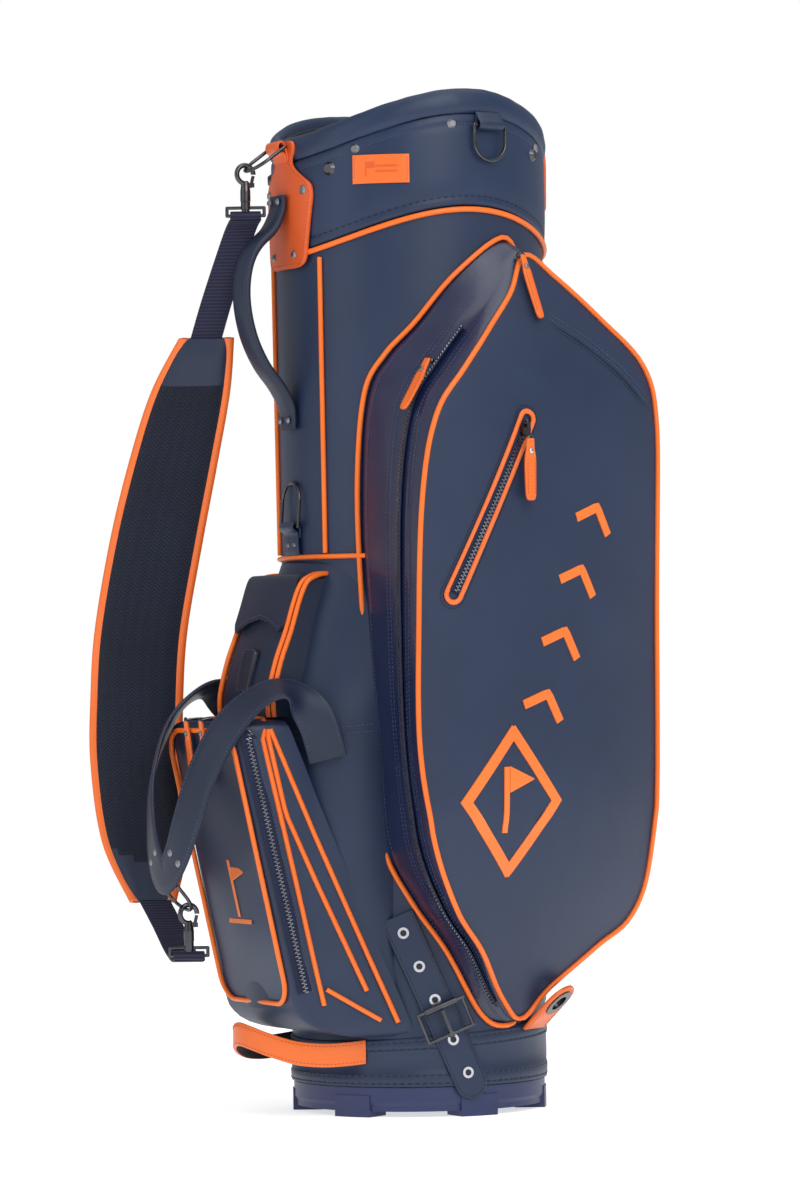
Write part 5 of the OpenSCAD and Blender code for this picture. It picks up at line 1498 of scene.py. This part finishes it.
# the webbing folds over the low bar of each bow and is sewn down on itself
for swivel, run in ((upperSwivel, upperRun[:7]), (lowerSwivel, lowerRun[:-8:-1])):
    bar = swivel - Vector((0, 0, webbing["bar"]))
    turn = [bar + Vector((0.866, -0.5, 0)) * webbing["fold"] * math.cos(a)
        + Vector((0, 0, webbing["fold"] * math.sin(a)))
        for a in (math.pi * (k / 10 - 0.35) for k in range(18))]
    merge(webs, strap(turn, [pad["across"]] * len(turn), [webbing["width"] - 1] * len(turn), webbing["sewn"]))
piece("strapWebbing", webs, ["webbing"], stands=("strap_webbing",))

# ---------- buckle strap ----------
keeper = {"angle": 72, "head": Vector((-38, 176)), "foot": Vector((26, 30)), "half": 15.0, "lift": 1.4,
    "thickness": 3.0, "seam": 2.6, "holes": (0.1, 0.3, 0.5, 0.74, 0.94), "hole": 5.8}


def onTube(q, lift):
    r = tubeRadius(q.y) + lift
    return turned(keeper["angle"], "Z") @ Vector((q.x, -math.sqrt(r * r - q.x * q.x), q.y))


def buckleStrap():
    d = (keeper["foot"] - keeper["head"]).normalized()
    n = Vector((d.y, -d.x))
    length = (keeper["foot"] - keeper["head"]).length
    rings = []
    stations = [length * k / 40 for k in range(41)]
    stations += [length + keeper["half"] * math.sin(math.pi / 2 * k / 10) for k in range(1, 11)]
    for s in stations:
        w = keeper["half"] if s <= length else math.sqrt(max(0.6, keeper["half"] ** 2 - (s - length) ** 2))
        c = keeper["head"] + d * s
        ring = [onTube(c + n * w, keeper["lift"] + 1.2), onTube(c + n * (w - 0.3), keeper["lift"] + 2.3)]
        ring += [onTube(c + n * (w - 1.0) * (1 - k / 4), keeper["lift"] + keeper["thickness"])
            for k in range(9)]
        ring += [onTube(c - n * (w - 0.3), keeper["lift"] + 2.3), onTube(c - n * w, keeper["lift"] + 1.2)]
        ring += [onTube(c - n * (w - 0.5) * (1 - k / 4), keeper["lift"]) for k in range(9)]
        rings.append(ring)
    return loft(rings)


piece("buckleStrap", buckleStrap(), ["navyLeather"], stands=("buckle_strap",))
d = (keeper["foot"] - keeper["head"]).normalized()
n = Vector((d.y, -d.x))
w = keeper["half"] - keeper["seam"]
rim = [keeper["head"] + n * w]
rim += [keeper["foot"] + n * w * math.cos(math.pi * k / 12) + d * w * math.sin(math.pi * k / 12)
    for k in range(13)]
rim += [keeper["head"] - n * w]
rim = straight(rim, 5)
stitch([onTube(q, keeper["lift"] + keeper["thickness"]) for q in rim], radial, "threadDark", pitch=3.4,
    thick=0.85)
# black discs laid on the strap where its holes are punched: painted shade standing in for the holes
holes = bmesh.new()
for share in keeper["holes"]:
    q = keeper["head"] + (keeper["foot"] - keeper["head"]) * share
    p = onTube(q, keeper["lift"] + keeper["thickness"] + 0.02)
    merge(holes, dome(p, radial(p), keeper["hole"], 0.35))
piece("strapHoles", holes, ["blackPlastic"])

# ---------- umbrella tab ----------
tab = {"half": 19.0, "reach": 34.0, "thickness": 3.4, "hole": 10.6}


def umbrellaTab():
    def outer(inset):
        w = tab["half"] - inset
        out = []
        for k in range(64):
            a = math.tau * k / 64
            x, y = math.cos(a), math.sin(a)
            if y > 0:
                reach = (tab["reach"] - inset) / max(y, 1e-4)
                side = w / max(abs(x), 1e-4)
                r = min(reach, side)
            else:
                r = w
            out.append((x * r, -tab["reach"] + y * r))
        return out

    def inner(radius):
        return [(radius * math.cos(math.tau * k / 64), -tab["reach"] + radius * math.sin(math.tau * k / 64))
            for k in range(64)]

    t = tab["thickness"]
    levels = [(outer(0.9), 0), (outer(0.2), 0.5), (outer(0), t / 2), (outer(0.2), t - 0.5), (outer(0.9), t),
        (outer(3.0), t), (inner(tab["hole"] + 2.4), t), (inner(tab["hole"]), t), (inner(tab["hole"]), 0)]
    rings = [[Vector((x, y, z)) for x, y in line] for line, z in levels]
    return loft(rings, closed=True)


tabPlace = turned(123, "Z") @ Matrix.Translation((0, -116.8, 72)) @ turned(-45, "X")
tabSkin = umbrellaTab()
bmesh.ops.transform(tabSkin, matrix=tabPlace, verts=tabSkin.verts)
piece("umbrellaTab", tabSkin, ["orangeLeather"], stands=("umbrella_tab",))
tabEdge = [Vector((16, -2, 3.4))] + [Vector((16 * math.cos(math.pi * k / 14),
    -34 - 16 * math.sin(math.pi * k / 14), 3.4))
    for k in range(15)] + [Vector((-16, -2, 3.4))]
for level in (3.4, 0.0):
    row = [tabPlace @ Vector((p.x, p.y, level)) for p in straight(tabEdge, 6)]
    up = (tabPlace.to_3x3() @ Vector((0, 0, 1 if level else -1))).normalized()
    stitch(row, up, "threadOrange", pitch=3.2, thick=0.7)

# every row of thread, by colour and by the body that it is sewn to
for (finish, body), bm in threads.items():
    word = "".join(part.title() for part in body.split("_"))
    piece(finish + word, bm, [finish],
        body=body, sharp=80)
print("straps, tabs and stitching ready")

# ---------- finishes on the frame's own pieces ----------
plain = {
    "cupPlastic": ["base_cup", "base_feet"],
    "fibreglass": ["frame_stays"],
    "blackKnit": ["body_liner", "club_dividers", "cuff_lining"],
    "blackPlastic": ["divider_grid"],
    "gunmetal": ["towel_ring", "spine_ring", "strap_rings", "snap_hooks", "hook_bows", "upper_gate",
        "lower_gate", "zip_sliders", "security_slider", "umbrella_grommet", "hood_studs", "buckle_frame",
        "buckle_roller", "buckle_prong"],
    "satinCap": ["rivets"],
    "brightMetal": ["strap_eyelets"]}
for finish, nodes in plain.items():
    for name in nodes:
        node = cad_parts[name]
        for holder in node.material_slots:
            holder.material = finishes[finish]

# ---------- floor, light and camera ----------
studio = {"floorSize": 9.0, "floorTone": 0.94, "floorGlow": 0.62, "floorRoughness": 0.7, "roomLight": 0.42,
    "sensor": 36}
floorBm = bmesh.new()
bmesh.ops.create_grid(floorBm, x_segments=1, y_segments=1, size=studio["floorSize"])
floorMesh = bpy.data.meshes.new("studioFloor")
floorBm.to_mesh(floorMesh)
floorBm.free()
floor = bpy.data.objects.new("studioFloor", floorMesh)
bpy.context.collection.objects.link(floor)
floorPaint, floorTree, floorShader = startMaterial("floorPaint")
floorShader.inputs["Base Color"].default_value = (studio["floorTone"],) * 3 + (1,)
floorShader.inputs["Emission Color"].default_value = (1, 1, 1, 1)
floorShader.inputs["Emission Strength"].default_value = studio["floorGlow"]
floorShader.inputs["Roughness"].default_value = studio["floorRoughness"]
floorMesh.materials.append(floorPaint)

world = bpy.data.worlds.new("studio")
bpy.context.scene.world = world
world.use_nodes = True
room = world.node_tree.nodes["Background"]
room.inputs["Color"].default_value = (1, 1, 1, 1)
room.inputs["Strength"].default_value = studio["roomLight"]
backdrop = world.node_tree.nodes.new("ShaderNodeBackground")
backdrop.inputs["Color"].default_value = (1, 1, 1, 1)
path = world.node_tree.nodes.new("ShaderNodeLightPath")
either = world.node_tree.nodes.new("ShaderNodeMixShader")
world.node_tree.links.new(path.outputs["Is Camera Ray"], either.inputs[0])
world.node_tree.links.new(room.outputs[0], either.inputs[1])
world.node_tree.links.new(backdrop.outputs[0], either.inputs[2])
world.node_tree.links.new(either.outputs[0], world.node_tree.nodes["World Output"].inputs["Surface"])


def areaLight(name, place, target, size, power):
    light = bpy.data.lights.new(name, "AREA")
    light.shape = "RECTANGLE"
    light.size, light.size_y = size
    light.energy = power
    thing = bpy.data.objects.new(name, light)
    thing.location = place
    thing.rotation_euler = (Vector(target) - Vector(place)).to_track_quat("-Z", "Y").to_euler()
    bpy.context.collection.objects.link(thing)


areaLight("keyLight", (2.6, -0.2, 2.2), (0, 0, 0.5), (1.6, 2.2), 45)
areaLight("sideLight", (0.2, -3.0, 1.6), (0, 0, 0.5), (1.2, 2.4), 14)
areaLight("topLight", (0.4, 0.3, 3.4), (0, 0, 0.4), (2.6, 2.6), 30)

view = {"azimuth": 62.0, "distance": 4.5, "height": 0.386, "lens": 151.0, "roll": -0.77,
    "shift": (-0.0117, 0.0625)}
camera = bpy.data.objects.new("camera", bpy.data.cameras.new("camera"))
a = math.radians(view["azimuth"])
camera.location = (view["distance"] * math.sin(a), -view["distance"] * math.cos(a), view["height"])
camera.rotation_euler = (turned(view["azimuth"], "Z") @ turned(90, "X")
    @ turned(view["roll"], "Z")).to_euler()
camera.data.lens = view["lens"]
camera.data.sensor_width = studio["sensor"]
camera.data.shift_x, camera.data.shift_y = view["shift"]
bpy.context.collection.objects.link(camera)
bpy.context.scene.camera = camera
bpy.context.scene.view_settings.view_transform = "Standard"

print("scene ready")
